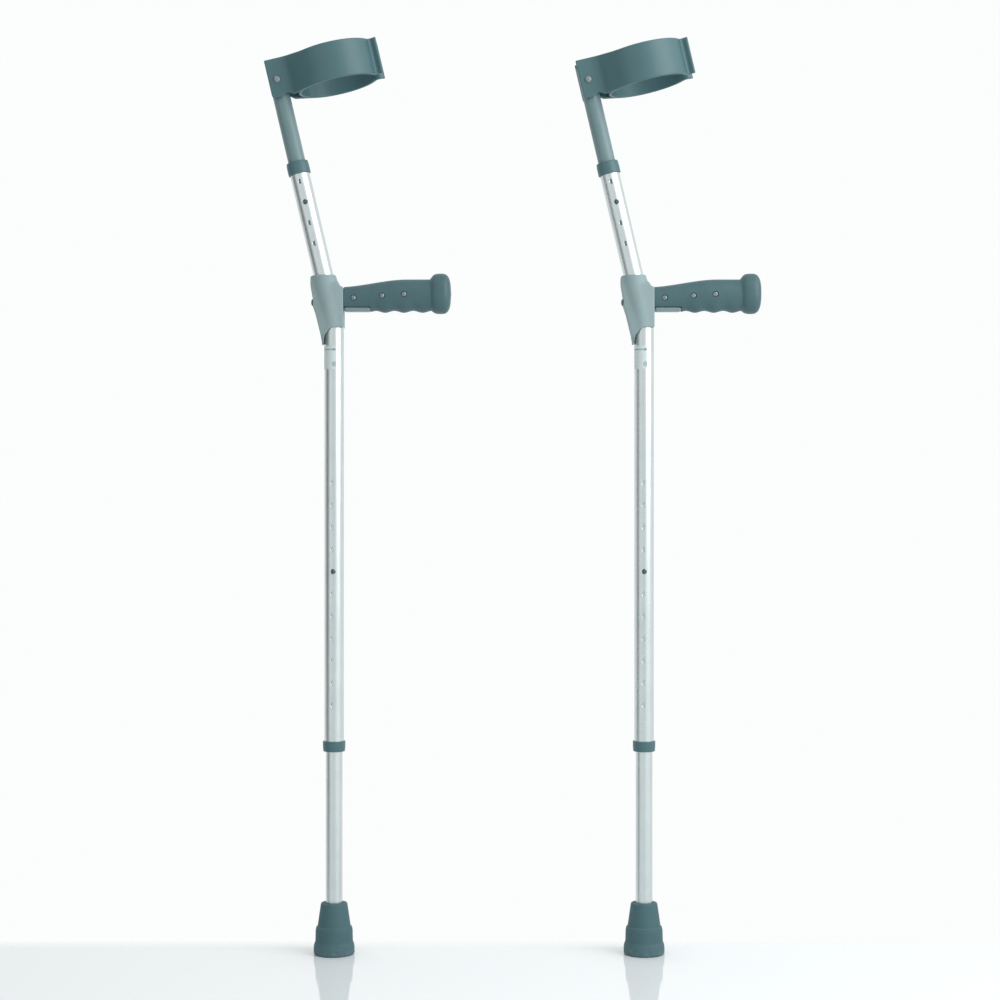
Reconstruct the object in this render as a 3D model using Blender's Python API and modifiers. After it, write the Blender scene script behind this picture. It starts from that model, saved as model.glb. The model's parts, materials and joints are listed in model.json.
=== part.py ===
"""Pair of double-adjustable forearm crutches, modelled in metres with +Z up.

Both crutches stand on the floor plane with their handles pointing along +X. The left one
is built around its own tube axis and the right one is the same crutch one spacing further
along X. The origin is on the floor under the middle of the pair.
"""

import math

import bmesh
import bpy
from mathutils import Matrix, Vector

# ---------------------------------------------------------------- driving dimensions (m)
GAP = 0.0003                      # clearance between pieces that touch

PAIR_SPACING = 0.3556             # from tube axis to tube axis
PAIR_SHIFT = -0.0278              # puts the middle of the pair's box on the origin
HOLE_RADIUS = 0.00295
ROUND_SIDES = 20
SMALL_SIDES = 12                  # screws, rivets, buttons and drilled holes

MAIN_RADIUS = 0.0112              # outer tube
MAIN_WALL = 0.0010
MAIN_BOTTOM = 0.2351
BEND_Z = 0.7226                   # where the straight and the leaning axis meet
BEND_ANGLE = math.radians(13.2)
BEND_RADIUS = 0.080
MAIN_TOP = 0.1840                 # measured along the leaning axis from the bend
TUBE_END_CHAMFER = 0.0008

LEG_HOLES = 11
LEG_PITCH = 0.0254
LEG_HOLE_LOWEST = 0.2863
LEG_BUTTON_HOLE = 6               # counted from the lowest hole, which is 0
LEG_RADIUS = 0.0096
LEG_WALL = 0.0012
LEG_BOTTOM = 0.0145
LEG_TOP = 0.5600

STEM_HOLES = 4
STEM_PITCH = 0.0243
STEM_HOLE_LOWEST = 0.0938
STEM_BUTTON_HOLE = 2
STEM_RADIUS = 0.0099
STEM_WALL = 0.0015
STEM_TAIL = 0.054                 # stem below its own button
STEM_HEAD = 0.0165                # stem above the rivet

COLLAR_RADIUS = 0.0129
UPPER_COLLAR_LENGTH = 0.0145
LOWER_COLLAR_LENGTH = 0.0120
COLLAR_LIP = 0.0025

FERRULE_HEIGHT = 0.0590
FERRULE_FLOOR = 0.0125            # thickness of rubber under the washer
WASHER_THICKNESS = 0.0014

RIVET_ALONG = 0.2855              # from the bend to the cuff's rivet
CUFF_HEIGHT = 0.042
CUFF_WALL = 0.0035
CUFF_MID_RADIUS = 0.04525         # middle of the band's wall
CUFF_CENTRE = 0.067               # from the stem axis to the middle of the ring
CUFF_LIP_REACH = 0.1200
CUFF_LIP_HALF_GAP = 0.0135        # from the middle plane to the lip's mid-wall
CUFF_LIP_BEND = 0.0050
CUFF_LIP_FLARE = 28               # degrees, outward from the middle plane
CHEEK_OUTER = 0.0142
CHEEK_BACK = 0.0097
CHEEK_FILLET = 0.0180
CHEEK_TOUCH = 48                  # degrees round the ring, where a cheek runs into it
LUG_CORNER = 0.0040
NOTCH_PLACE = 0.0078              # in front of the stem, in the cheeks' lower edge
NOTCH_HALF_WIDTH = 0.0075
NOTCH_RISE = 0.0038
RIVET_RADIUS = 0.0024

HANDLE_BOLT_Z = 0.7470
HANDLE_BOLT_RADIUS = 0.0025
BRACKET_RADIUS = 0.0142
BRACKET_FRONT = 0.0112
BRACKET_BACK = 0.0270
BOLT_SEAT = 0.0240                # flat on the bracket's back, under the bolt's head
BOLT_REACH = 0.018                # from the bracket's front into the core
CORE_END = 0.112
CORE_HALF_WIDTH = 0.0075
CORE_LOW = 0.7425
CORE_HIGH = 0.7590
FOOT_END = 0.0420                 # light-coloured foot of the core under the grip's root
FOOT_LOW = 0.7366
FOOT_HIGH = 0.7412
FOOT_HALF_WIDTH = 0.0095

GRIP_START = BRACKET_FRONT + GAP
GRIP_TIP = 0.1340
GRIP_ROOT_TOP = 0.7646
GRIP_BACK_TOP = 0.7734
GRIP_UNDERSIDE = 0.7364
SCALLOP_DEPTH = 0.0011
SCALLOP_PITCH = 0.0215
SCALLOP_FIRST_BUMP = 0.0585
BULB_CENTRE = (0.1225, 0.7570)
BULB_HALF = (0.0115, 0.0178, 0.0231)
BULB_NECK = 0.0145                # from the bulb's centre back to its neck
BULB_SQUARENESS = 3.0
GRIP_SCREWS = ((0.0229, 0.7515), (0.0555, 0.7537), (0.0805, 0.7554))
END_PLUG_RADIUS = 0.0060
END_PLUG_FACE = 0.1332            # where the plug's rim sits along the handle
SCREW_HEAD_RADIUS = 0.0030
SCREW_SHANK_RADIUS = 0.0014
SCREW_LENGTH = 0.0085
SCREW_WELL_DEPTH = 0.0018

LABEL_LOW = 0.6700
LABEL_HIGH = 0.6970
LABEL_THICKNESS = 0.00025

BUTTON_PROUD = 0.0126             # from the tube axis to the top of the dome

# ---------------------------------------------------------------------------- materials
FINISHES = {
    "brushed_aluminium": ((0.60, 0.63, 0.64), 0.32, 1.0),
    "grey_powder_coat": ((0.16, 0.24, 0.25), 0.50, 0.0),
    "dark_moulded_plastic": ((0.075, 0.140, 0.150), 0.45, 0.0),
    "light_moulded_plastic": ((0.30, 0.38, 0.38), 0.60, 0.0),
    "black_rubber": ((0.070, 0.130, 0.140), 0.80, 0.0),
    "steel": ((0.55, 0.57, 0.58), 0.28, 1.0),
    "spring_steel": ((0.35, 0.37, 0.38), 0.35, 1.0),
    "blank_label": ((0.62, 0.66, 0.67), 0.55, 0.0),
}


def clear_scene():
    for old in list(bpy.data.objects):
        bpy.data.objects.remove(old, do_unlink=True)


def make_collection(name):
    collection = bpy.data.collections.new(name)
    bpy.context.scene.collection.children.link(collection)
    return collection


def make_material(name, colour, roughness, metallic):
    material = bpy.data.materials.new(name)
    material.use_nodes = True
    shader = material.node_tree.nodes["Principled BSDF"]
    shader.inputs["Base Color"].default_value = (*colour, 1.0)
    shader.inputs["Roughness"].default_value = roughness
    shader.inputs["Metallic"].default_value = metallic
    return material


clear_scene()
PARTS = make_collection("forearm_crutches")
CUTTERS = make_collection("cutters")
MATERIALS = {name: make_material(name, *finish) for name, finish in FINISHES.items()}


# ------------------------------------------------------------------------ object helpers
def add_part(name, mesh, finish, parent, location=(0, 0, 0), rotation=(0, 0, 0)):
    """Puts a mesh in the parts collection with its material, under its parent empty."""
    part = bpy.data.objects.new(name, mesh)
    PARTS.objects.link(part)
    part.parent = parent
    part.location = location
    part.rotation_euler = rotation
    part.data.materials.clear()
    part.data.materials.append(MATERIALS[finish])
    part.data.shade_smooth()
    part.data.set_sharp_from_angle(angle=math.radians(35))
    return part


def add_cutter(name, mesh, parent, location=(0, 0, 0), rotation=(0, 0, 0)):
    """Puts a mesh in the cutters collection, drawn as wire and left out of renders."""
    cutter = bpy.data.objects.new(name, mesh)
    CUTTERS.objects.link(cutter)
    cutter.parent = parent
    cutter.location = location
    cutter.rotation_euler = rotation
    cutter.hide_render = True
    cutter.display_type = "WIRE"
    return cutter


def add_empty(name, parent, location=(0, 0, 0), rotation=(0, 0, 0)):
    empty = bpy.data.objects.new(name, None)
    PARTS.objects.link(empty)
    empty.empty_display_size = 0.02
    empty.parent = parent
    empty.location = location
    empty.rotation_euler = rotation
    return empty


def boolean(part, operation, cutter):
    modifier = part.modifiers.new(f"{operation.lower()} {cutter.name}", "BOOLEAN")
    modifier.operation = operation
    modifier.solver = "EXACT"
    modifier.object = cutter
    return modifier


def add_bevel(part, width, segments=2, degrees=50):
    modifier = part.modifiers.new("rounded edges", "BEVEL")
    modifier.width = width
    modifier.segments = segments
    modifier.limit_method = "ANGLE"
    modifier.angle_limit = math.radians(degrees)


# -------------------------------------------------------------------------- mesh helpers
def turned(name, finish, parent, profile, location=(0, 0, 0), rotation=(0, 0, 0),
           sides=ROUND_SIDES):
    """Turns a profile of (radius, height) about Z. It runs down the outer side.

    A profile that starts off the axis is a closed loop, so it turns into a ring.
    """
    mesh = bpy.data.meshes.new(name)
    count = len(profile)
    ring = profile[0][0] > 0
    edges = [(i, (i + 1) % count) for i in range(count if ring else count - 1)]
    mesh.from_pydata([(radius, 0, height) for radius, height in profile], edges, [])
    part = add_part(name, mesh, finish, parent, location, rotation)
    screw = part.modifiers.new("turn", "SCREW")
    screw.angle = math.tau
    screw.steps = sides
    screw.render_steps = sides
    screw.use_merge_vertices = True
    screw.merge_threshold = 0.00001
    screw.use_smooth_shade = True
    return part


def cylinder_mesh(name, radius, depth, sides=SMALL_SIDES):
    """A capped cylinder along Z, centred on its own origin.

    It is turned by an odd angle, so that its corners miss the corners of what it cuts.
    """
    mesh = bpy.data.meshes.new(name)
    shape = bmesh.new()
    bmesh.ops.create_cone(shape, cap_ends=True, segments=sides, radius1=radius,
                          radius2=radius, depth=depth,
                          matrix=Matrix.Rotation(math.radians(7), 4, "Z"))
    shape.to_mesh(mesh)
    shape.free()
    return mesh


def box_mesh(name, low, high):
    """A box between two opposite corners."""
    low = Vector(low)
    high = Vector(high)
    size = high - low
    mesh = bpy.data.meshes.new(name)
    shape = bmesh.new()
    bmesh.ops.create_cube(shape, size=1.0)
    bmesh.ops.transform(shape, matrix=Matrix.Diagonal((*size, 1)), verts=shape.verts)
    bmesh.ops.translate(shape, vec=(low + high) / 2, verts=shape.verts)
    shape.to_mesh(mesh)
    shape.free()
    return mesh


def mesh_from_curve(name, curve):
    """Turns curve data into a mesh with welded caps."""
    holder = bpy.data.objects.new(name, curve)
    CUTTERS.objects.link(holder)
    evaluated = holder.evaluated_get(bpy.context.evaluated_depsgraph_get())
    mesh = bpy.data.meshes.new_from_object(evaluated)
    bpy.data.objects.remove(holder, do_unlink=True)
    shape = bmesh.new()
    shape.from_mesh(mesh)
    bmesh.ops.remove_doubles(shape, verts=shape.verts, dist=0.00001)
    shape.to_mesh(mesh)
    shape.free()
    return mesh


def swept_mesh(name, points, radius, caps):
    """A round bar, or an open tube wall, along a line of points."""
    curve = bpy.data.curves.new(name, "CURVE")
    curve.dimensions = "3D"
    curve.bevel_depth = radius
    curve.bevel_resolution = ROUND_SIDES // 2 - 2
    curve.use_fill_caps = caps
    spline = curve.splines.new("POLY")
    spline.points.add(len(points) - 1)
    for point, place in zip(spline.points, points):
        point.co = (*place, 1)
    return mesh_from_curve(name, curve)


def outline_mesh(name, outline, half_thickness):
    """A flat outline in XZ, extruded evenly to both sides along Y."""
    curve = bpy.data.curves.new(name, "CURVE")
    curve.dimensions = "2D"
    curve.fill_mode = "BOTH"
    curve.extrude = half_thickness
    spline = curve.splines.new("POLY")
    spline.points.add(len(outline) - 1)
    for point, (x, z) in zip(spline.points, outline):
        point.co = (x, z, 0, 1)
    spline.use_cyclic_u = True
    mesh = mesh_from_curve(name, curve)
    mesh.transform(Matrix.Rotation(math.pi / 2, 4, "X"))
    return mesh


def arc(centre, radius, start, end, steps):
    """Points on a circle in a plane, with both ends, angles in degrees."""
    angles = [math.radians(start + (end - start) * i / steps) for i in range(steps + 1)]
    return [(centre[0] + radius * math.cos(a), centre[1] + radius * math.sin(a))
            for a in angles]


def blend(value):
    """Eases from 0 to 1 with flat ends."""
    value = min(max(value, 0.0), 1.0)
    return value * value * (3 - 2 * value)


# ----------------------------------------------------------------------- frame of a crutch
def tube_path(bottom, top):
    """The tube's axis from a height on the straight part to a length past the bend."""
    tangent = BEND_RADIUS * math.tan(BEND_ANGLE / 2)
    bend = arc((-BEND_RADIUS, BEND_Z - tangent), BEND_RADIUS, 0,
               math.degrees(BEND_ANGLE), 5)
    end = (-top * math.sin(BEND_ANGLE), BEND_Z + top * math.cos(BEND_ANGLE))
    return [(x, 0, z) for x, z in [(0, bottom), *bend, end]]


def make_main_tube(side, crutch, upper):
    """Bent tube with a row of holes for each telescoping part and two for the bolt."""
    name = f"{side}_main_tube"
    mesh = swept_mesh(name, tube_path(MAIN_BOTTOM, MAIN_TOP), MAIN_RADIUS, caps=False)
    tube = add_part(name, mesh, "brushed_aluminium", crutch)
    wall = tube.modifiers.new("wall", "SOLIDIFY")
    wall.thickness = MAIN_WALL
    wall.offset = -1
    wall.use_even_offset = True

    facing_front = (math.pi / 2, 0, 0)
    rows = (("leg", crutch, LEG_HOLE_LOWEST, LEG_HOLES, LEG_PITCH),
            ("stem", upper, STEM_HOLE_LOWEST, STEM_HOLES, STEM_PITCH))
    for row, parent, lowest, count, pitch in rows:
        mesh = cylinder_mesh(f"{side}_{row}_holes", HOLE_RADIUS, MAIN_RADIUS)
        drill = add_cutter(mesh.name, mesh, parent, (0, -MAIN_RADIUS, lowest), facing_front)
        repeat = drill.modifiers.new("row", "ARRAY")
        repeat.count = count
        repeat.use_relative_offset = False
        repeat.use_constant_offset = True
        repeat.constant_offset_displace = (0, pitch, 0)
        boolean(tube, "DIFFERENCE", drill)
    boolean(tube, "DIFFERENCE", bolt_drill(side, "tube", crutch))


def bolt_drill(side, target, crutch):
    """Cutter along X for the handle's through bolt."""
    length = 3 * (BRACKET_BACK + BRACKET_FRONT) / 2 + MAIN_RADIUS * 2
    mesh = cylinder_mesh(f"{side}_{target}_bolt_drill", HANDLE_BOLT_RADIUS + GAP, length)
    return add_cutter(mesh.name, mesh, crutch, (0, 0, HANDLE_BOLT_Z), (0, math.pi / 2, 0))


def bracket_outline():
    """Side view of the bracket: flat front, rounded shoulder, tongue down the back."""
    return [
        (-BRACKET_BACK, 0.7775),
        (-BRACKET_BACK, 0.7670),
        (-BOLT_SEAT - 0.0006, 0.7525),
        (-BOLT_SEAT, 0.7515),
        (-BOLT_SEAT, 0.7425),
        (-0.0208, 0.7330),
        (-0.0156, 0.7120),
        *arc((-0.0131, 0.6997), 0.0015, 180, 300, 4),
        (-0.0100, 0.7085),
        (-0.0045, 0.7160),
        (0.0000, 0.7178),
        (BRACKET_FRONT, 0.7178),
        (BRACKET_FRONT, 0.7635),
        (0.0070, 0.7655),
        (0.0034, 0.7735),
        *arc((0.0002, 0.7768), 0.0018, 10, 95, 3),
    ]


def make_bracket(side, crutch):
    """Moulded sleeve round the bend, with a bolt boss behind and a flat seat in front."""
    name = f"{side}_handle_bracket"
    sleeve = swept_mesh(name, tube_path(0.690, 0.075), BRACKET_RADIUS, caps=True)
    bracket = add_part(name, sleeve, "light_moulded_plastic", crutch)

    back_rib = box_mesh(f"{side}_bracket_rib", (-0.031, -0.0100, 0.712),
                        (-0.004, 0.0100, 0.790))
    seat = box_mesh(f"{side}_bracket_seat", (-0.006, -0.0128, 0.706),
                    (0.019, 0.0128, 0.768))
    for mesh, rounding in ((back_rib, 0.0050), (seat, 0.0050)):
        addition = add_cutter(mesh.name, mesh, crutch)
        add_bevel(addition, rounding, segments=3)
        boolean(bracket, "UNION", addition)

    outline = outline_mesh(f"{side}_bracket_outline", bracket_outline(), 0.020)
    boolean(bracket, "INTERSECT", add_cutter(outline.name, outline, crutch))
    channel = swept_mesh(f"{side}_bracket_channel", tube_path(0.680, 0.090),
                         MAIN_RADIUS + GAP, caps=True)
    boolean(bracket, "DIFFERENCE", add_cutter(channel.name, channel, crutch))
    boolean(bracket, "DIFFERENCE", bolt_drill(side, "bracket", crutch))


def make_handle_bolt(side, crutch):
    """Bolt from the back of the bracket, through the tube, into the handle's core."""
    head = BOLT_SEAT + GAP
    length = head + BRACKET_FRONT + BOLT_REACH
    profile = [
        (0, 0.0020),
        (0.0030, 0.0016),
        (0.0042, 0.0006),
        (0.0042, 0),
        (HANDLE_BOLT_RADIUS, 0),
        (HANDLE_BOLT_RADIUS, 0.0008 - length),
        (HANDLE_BOLT_RADIUS - 0.0008, -length),
        (0, -length),
    ]
    turned(f"{side}_handle_bolt", "steel", crutch, profile,
           (-head, 0, HANDLE_BOLT_Z), (0, -math.pi / 2, 0), SMALL_SIDES)


def make_handle_core(side, crutch):
    """Bar inside the grip, with a foot that shows under the grip's root."""
    name = f"{side}_handle_core"
    bar = box_mesh(name, (GRIP_START, -CORE_HALF_WIDTH, CORE_LOW),
                   (CORE_END, CORE_HALF_WIDTH, CORE_HIGH))
    core = add_part(name, bar, "light_moulded_plastic", crutch)
    add_bevel(core, 0.0012)
    foot = box_mesh(f"{side}_core_foot", (GRIP_START + 0.0002, -FOOT_HALF_WIDTH, FOOT_LOW),
                    (FOOT_END, FOOT_HALF_WIDTH, FOOT_HIGH))
    root = box_mesh(f"{side}_core_root",
                    (GRIP_START + 0.0012, 0.0006 - CORE_HALF_WIDTH, FOOT_LOW + 0.002),
                    (FOOT_END - 0.002, CORE_HALF_WIDTH - 0.0006, CORE_LOW + 0.004))
    foot_cutter = add_cutter(foot.name, foot, crutch)
    add_bevel(foot_cutter, 0.0020)
    for addition in (foot_cutter, add_cutter(root.name, root, crutch)):
        boolean(core, "UNION", addition)
    boolean(core, "DIFFERENCE", bolt_pocket(side, crutch))
    for number in range(len(GRIP_SCREWS)):
        boolean(core, "DIFFERENCE", screw_drill(side, number, "core", crutch))


def bolt_pocket(side, crutch):
    """Blind hole in the core for the end of the bolt."""
    depth = 0.026
    mesh = cylinder_mesh(f"{side}_bolt_pocket", HANDLE_BOLT_RADIUS + GAP, depth)
    middle = GRIP_START + BOLT_REACH + GAP - depth / 2
    return add_cutter(mesh.name, mesh, crutch, (middle, 0, HANDLE_BOLT_Z),
                      (0, math.pi / 2, 0))


def screw_drill(side, number, target, crutch):
    """Stepped cutter for a grip screw: room for its shank, and above it for its head."""
    x, z = GRIP_SCREWS[number]
    surface = grip_section(x)[1]
    name = f"{side}_{target}_screw_drill_{number + 1}"
    shape = bmesh.new()
    spin = Matrix.Rotation(math.radians(7), 4, "Z")
    shank = SCREW_SHANK_RADIUS + GAP
    head = SCREW_HEAD_RADIUS + GAP
    depth = SCREW_LENGTH + 3 * GAP
    bottom = surface - SCREW_WELL_DEPTH - depth
    bmesh.ops.create_circle(shape, cap_ends=True, segments=SMALL_SIDES, radius=shank,
                            matrix=Matrix.Translation((0, 0, bottom)) @ spin)
    for radius, lift in ((shank, depth), (head, 0), (head, 0.0080)):
        rim = [edge for edge in shape.edges if edge.is_boundary or len(edge.link_faces) < 2]
        grown = bmesh.ops.extrude_edge_only(shape, edges=rim)["geom"]
        ring = [item for item in grown if isinstance(item, bmesh.types.BMVert)]
        for vert in ring:
            flat = Vector((vert.co.x, vert.co.y, 0)).normalized() * radius
            vert.co = (flat.x, flat.y, vert.co.z + lift)
    bmesh.ops.holes_fill(shape, edges=shape.edges)
    bmesh.ops.recalc_face_normals(shape, faces=shape.faces)
    mesh = bpy.data.meshes.new(name)
    shape.to_mesh(mesh)
    shape.free()
    return add_cutter(name, mesh, crutch, (x, 0, z), (math.pi / 2, 0, 0))


def make_grip_screws(side, crutch):
    """Pan-head screws that hold the grip to the core, a little below its surface."""
    for number, (x, z) in enumerate(GRIP_SCREWS):
        seat = grip_section(x)[1] - SCREW_WELL_DEPTH + GAP
        profile = [
            (0, 0.0013),
            (0.0020, 0.0011),
            (SCREW_HEAD_RADIUS, 0.0003),
            (SCREW_HEAD_RADIUS, 0),
            (SCREW_SHANK_RADIUS, 0),
            (SCREW_SHANK_RADIUS, 0.0010 - SCREW_LENGTH),
            (0, -SCREW_LENGTH),
        ]
        turned(f"{side}_grip_screw_{number + 1}", "steel", crutch, profile,
               (x, -seat, z), (math.pi / 2, 0, 0), SMALL_SIDES)


def grip_section(x):
    """Middle height, half width and half height of the grip at a distance along it."""
    rise = blend((x - 0.004) / 0.080)
    top = GRIP_ROOT_TOP + (GRIP_BACK_TOP - GRIP_ROOT_TOP) * rise
    wave = math.cos(math.tau * (x - SCALLOP_FIRST_BUMP) / SCALLOP_PITCH)
    fade = blend((x - 0.040) / 0.008)
    bottom = GRIP_UNDERSIDE - SCALLOP_DEPTH * wave * fade
    half_width = 0.0122 + 0.0024 * rise
    reach = BULB_HALF[0] if x > BULB_CENTRE[0] else BULB_NECK
    along = min(abs(x - BULB_CENTRE[0]) / reach, 1.0)
    swell = (1 - along ** BULB_SQUARENESS) ** (1 / BULB_SQUARENESS)
    bulb_top = BULB_CENTRE[1] + BULB_HALF[2] * swell
    bulb_bottom = BULB_CENTRE[1] - BULB_HALF[2] * swell
    if x > BULB_CENTRE[0]:
        return (bulb_top + bulb_bottom) / 2, BULB_HALF[1] * swell, BULB_HALF[2] * swell
    neck = blend((x - 0.104) / 0.011)
    top = top + max(bulb_top - top, 0) * neck
    bottom = bottom + min(bulb_bottom - bottom, 0) * neck
    half_width = half_width + max(BULB_HALF[1] * swell - half_width, 0) * neck
    return (top + bottom) / 2, half_width, (top - bottom) / 2


def loft_mesh(name, stations, sides, squareness):
    """Joins rings of a superellipse at each station, with flat ends."""
    mesh = bpy.data.meshes.new(name)
    shape = bmesh.new()
    rings = []
    for x in stations:
        middle, half_width, half_height = grip_section(x)
        ring = []
        for i in range(sides):
            angle = math.tau * i / sides
            across, up = math.cos(angle), math.sin(angle)
            y = half_width * math.copysign(abs(across) ** squareness, across)
            z = middle + half_height * math.copysign(abs(up) ** squareness, up)
            ring.append(shape.verts.new((x, y, z)))
        rings.append(ring)
    for first, second in zip(rings, rings[1:]):
        for i in range(sides):
            j = (i + 1) % sides
            shape.faces.new((first[i], first[j], second[j], second[i]))
    shape.faces.new(list(reversed(rings[0])))
    shape.faces.new(rings[-1])
    bmesh.ops.recalc_face_normals(shape, faces=shape.faces)
    shape.to_mesh(mesh)
    shape.free()
    return mesh


def make_grip(side, crutch):
    """Moulded grip with finger scallops and an end bulb, hollow for the core."""
    name = f"{side}_grip"
    neck = BULB_CENTRE[0] - BULB_NECK
    plain = [GRIP_START + (neck - GRIP_START) * i / 20 for i in range(21)]
    bulb = [BULB_CENTRE[0] - BULB_NECK * math.cos(math.radians(a))
            for a in (20, 35, 50, 65, 85)]
    bulb += [BULB_CENTRE[0] - BULB_HALF[0] * math.cos(math.radians(a))
             for a in (100, 118, 134, 146, 156)]
    grip = add_part(name, loft_mesh(name, plain + bulb, 16, 0.86),
                    "dark_moulded_plastic", crutch)
    cavity = box_mesh(f"{side}_grip_cavity",
                      (0, -CORE_HALF_WIDTH - GAP, CORE_LOW - GAP),
                      (CORE_END + GAP, CORE_HALF_WIDTH + GAP, CORE_HIGH + GAP))
    root = box_mesh(f"{side}_grip_root_cut", (0, -0.020, 0.730),
                    (FOOT_END + GAP, 0.020, FOOT_HIGH + GAP))
    throat = box_mesh(f"{side}_grip_throat_cut", (0, -CORE_HALF_WIDTH - GAP, 0.731),
                      (FOOT_END, CORE_HALF_WIDTH + GAP, CORE_LOW + 0.003))
    for mesh in (cavity, root, throat):
        boolean(grip, "DIFFERENCE", add_cutter(mesh.name, mesh, crutch))
    for number in range(len(GRIP_SCREWS)):
        boolean(grip, "DIFFERENCE", screw_drill(side, number, "grip", crutch))
    socket = cylinder_mesh(f"{side}_end_plug_socket", END_PLUG_RADIUS + GAP, 0.020)
    boolean(grip, "DIFFERENCE", add_cutter(socket.name, socket, crutch,
                                           (GRIP_TIP + 0.0029, 0, BULB_CENTRE[1]),
                                           (0, math.pi / 2, 0)))


def make_end_plug(side, crutch):
    """Shallow domed plug in the end of the grip."""
    profile = [
        (0, 0.0012),
        (0.0035, 0.0009),
        (END_PLUG_RADIUS - 0.0008, 0),
        (END_PLUG_RADIUS, -0.0006),
        (END_PLUG_RADIUS, -0.0060),
        (0, -0.0060),
    ]
    turned(f"{side}_grip_end_plug", "dark_moulded_plastic", crutch, profile,
           (END_PLUG_FACE, 0, BULB_CENTRE[1]), (0, math.pi / 2, 0), SMALL_SIDES)


def make_label(side, crutch):
    """Blank rating label, wrapped round the tube below the bracket."""
    name = f"{side}_blank_label"
    radius = MAIN_RADIUS + GAP
    mesh = bpy.data.meshes.new(name)
    shape = bmesh.new()
    around = arc((0, 0), radius, 186, 284, 12)
    rows = [[shape.verts.new((x, y, z)) for x, y in around] for z in (LABEL_LOW, LABEL_HIGH)]
    for i in range(len(around) - 1):
        shape.faces.new((rows[0][i], rows[0][i + 1], rows[1][i + 1], rows[1][i]))
    shape.to_mesh(mesh)
    shape.free()
    label = add_part(name, mesh, "blank_label", crutch)
    sheet = label.modifiers.new("sheet", "SOLIDIFY")
    sheet.thickness = LABEL_THICKNESS
    sheet.offset = 1


def make_collar(name, parent, start, inner_radius, length, upwards):
    """End sleeve: its thin lip covers the tube's end and closes on the inner tube."""
    bore = inner_radius + GAP
    socket = MAIN_RADIUS + GAP
    outer = COLLAR_RADIUS
    profile = [
        (socket, length),
        (outer - 0.0007, length),
        (outer, length - 0.0012),
        (outer, 0.0022),
        (outer - 0.0018, 0),
        (bore, 0),
        (bore, COLLAR_LIP),
        (socket, COLLAR_LIP),
    ]
    turned(name, "dark_moulded_plastic", parent, profile, (0, 0, start),
           (math.pi, 0, 0) if upwards else (0, 0, 0))


# ------------------------------------------------------------------- telescoping members
def make_straight_tube(name, finish, parent, radius, wall, bottom, top):
    profile = [
        (radius - wall, top),
        (radius - TUBE_END_CHAMFER / 2, top),
        (radius, top - TUBE_END_CHAMFER),
        (radius, bottom + TUBE_END_CHAMFER),
        (radius - TUBE_END_CHAMFER / 2, bottom),
        (radius - wall, bottom),
    ]
    return turned(name, finish, parent, profile)


def make_guide(name, parent, bore, radius, end, upwards):
    """Nylon bush pressed into a telescoping tube's hidden end."""
    inner = bore - 0.0022
    profile = [
        (inner, 0.0038),
        (radius - 0.0006, 0.0038),
        (radius, 0.0030),
        (radius, 0),
        (bore - GAP, 0),
        (bore - GAP, -0.0120),
        (inner, -0.0120),
    ]
    offset = GAP if upwards else -GAP
    turned(name, "dark_moulded_plastic", parent, profile, (0, 0, end + offset),
           (0, 0, 0) if upwards else (math.pi, 0, 0), SMALL_SIDES)


def make_snap_button(name, parent):
    """Domed button on a flange. Its origin is on the tube axis and it presses along +Y."""
    profile = [
        (0, BUTTON_PROUD),
        (0.0012, BUTTON_PROUD - 0.0002),
        (0.0021, BUTTON_PROUD - 0.0008),
        (0.0026, BUTTON_PROUD - 0.0018),
        (0.0026, 0.0070),
        (0.0038, 0.0070),
        (0.0038, 0.0059),
        (0, 0.0059),
    ]
    turned(name, "steel", parent, profile, (0, 0, 0), (math.pi / 2, 0, 0), SMALL_SIDES)


def make_snap_spring(name, parent):
    """Folded strip behind the button: one arm on its flange, the other on the far wall."""
    half_width = 0.0030
    path = [(-0.0053, 0.0070), (-0.0053, -0.0070), (-0.0030, -0.0330),
            *arc((0.0004, -0.0344), 0.0032, 160, 330, 5),
            (0.0055, -0.0200), (0.0070, 0.0000), (0.0068, 0.0060)]
    mesh = bpy.data.meshes.new(name)
    shape = bmesh.new()
    rows = [[shape.verts.new((x, y, z)) for y, z in path] for x in (-half_width, half_width)]
    for i in range(len(path) - 1):
        shape.faces.new((rows[0][i], rows[0][i + 1], rows[1][i + 1], rows[1][i]))
    shape.to_mesh(mesh)
    shape.free()
    spring = add_part(name, mesh, "spring_steel", parent)
    strip = spring.modifiers.new("strip", "SOLIDIFY")
    strip.thickness = 0.0006
    strip.offset = 0


def make_leg(side, leg, button):
    """Telescoping leg, with everything that slides with it. Origin at the floor."""
    button_z = button.location.z
    tube = make_straight_tube(f"{side}_leg_tube", "brushed_aluminium", leg, LEG_RADIUS,
                              LEG_WALL, LEG_BOTTOM, LEG_TOP)
    mesh = cylinder_mesh(f"{side}_leg_button_hole", HOLE_RADIUS, LEG_RADIUS)
    boolean(tube, "DIFFERENCE", add_cutter(mesh.name, mesh, leg,
                                           (0, -LEG_RADIUS, button_z), (math.pi / 2, 0, 0)))
    make_guide(f"{side}_leg_guide", leg, LEG_RADIUS - LEG_WALL, LEG_RADIUS, LEG_TOP, True)
    make_snap_button(f"{side}_leg_snap_button", button)
    make_snap_spring(f"{side}_leg_snap_spring",
                     add_empty(f"{side}_leg_spring_seat", leg, (0, 0, button_z)))
    make_ferrule(side, leg)


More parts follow.
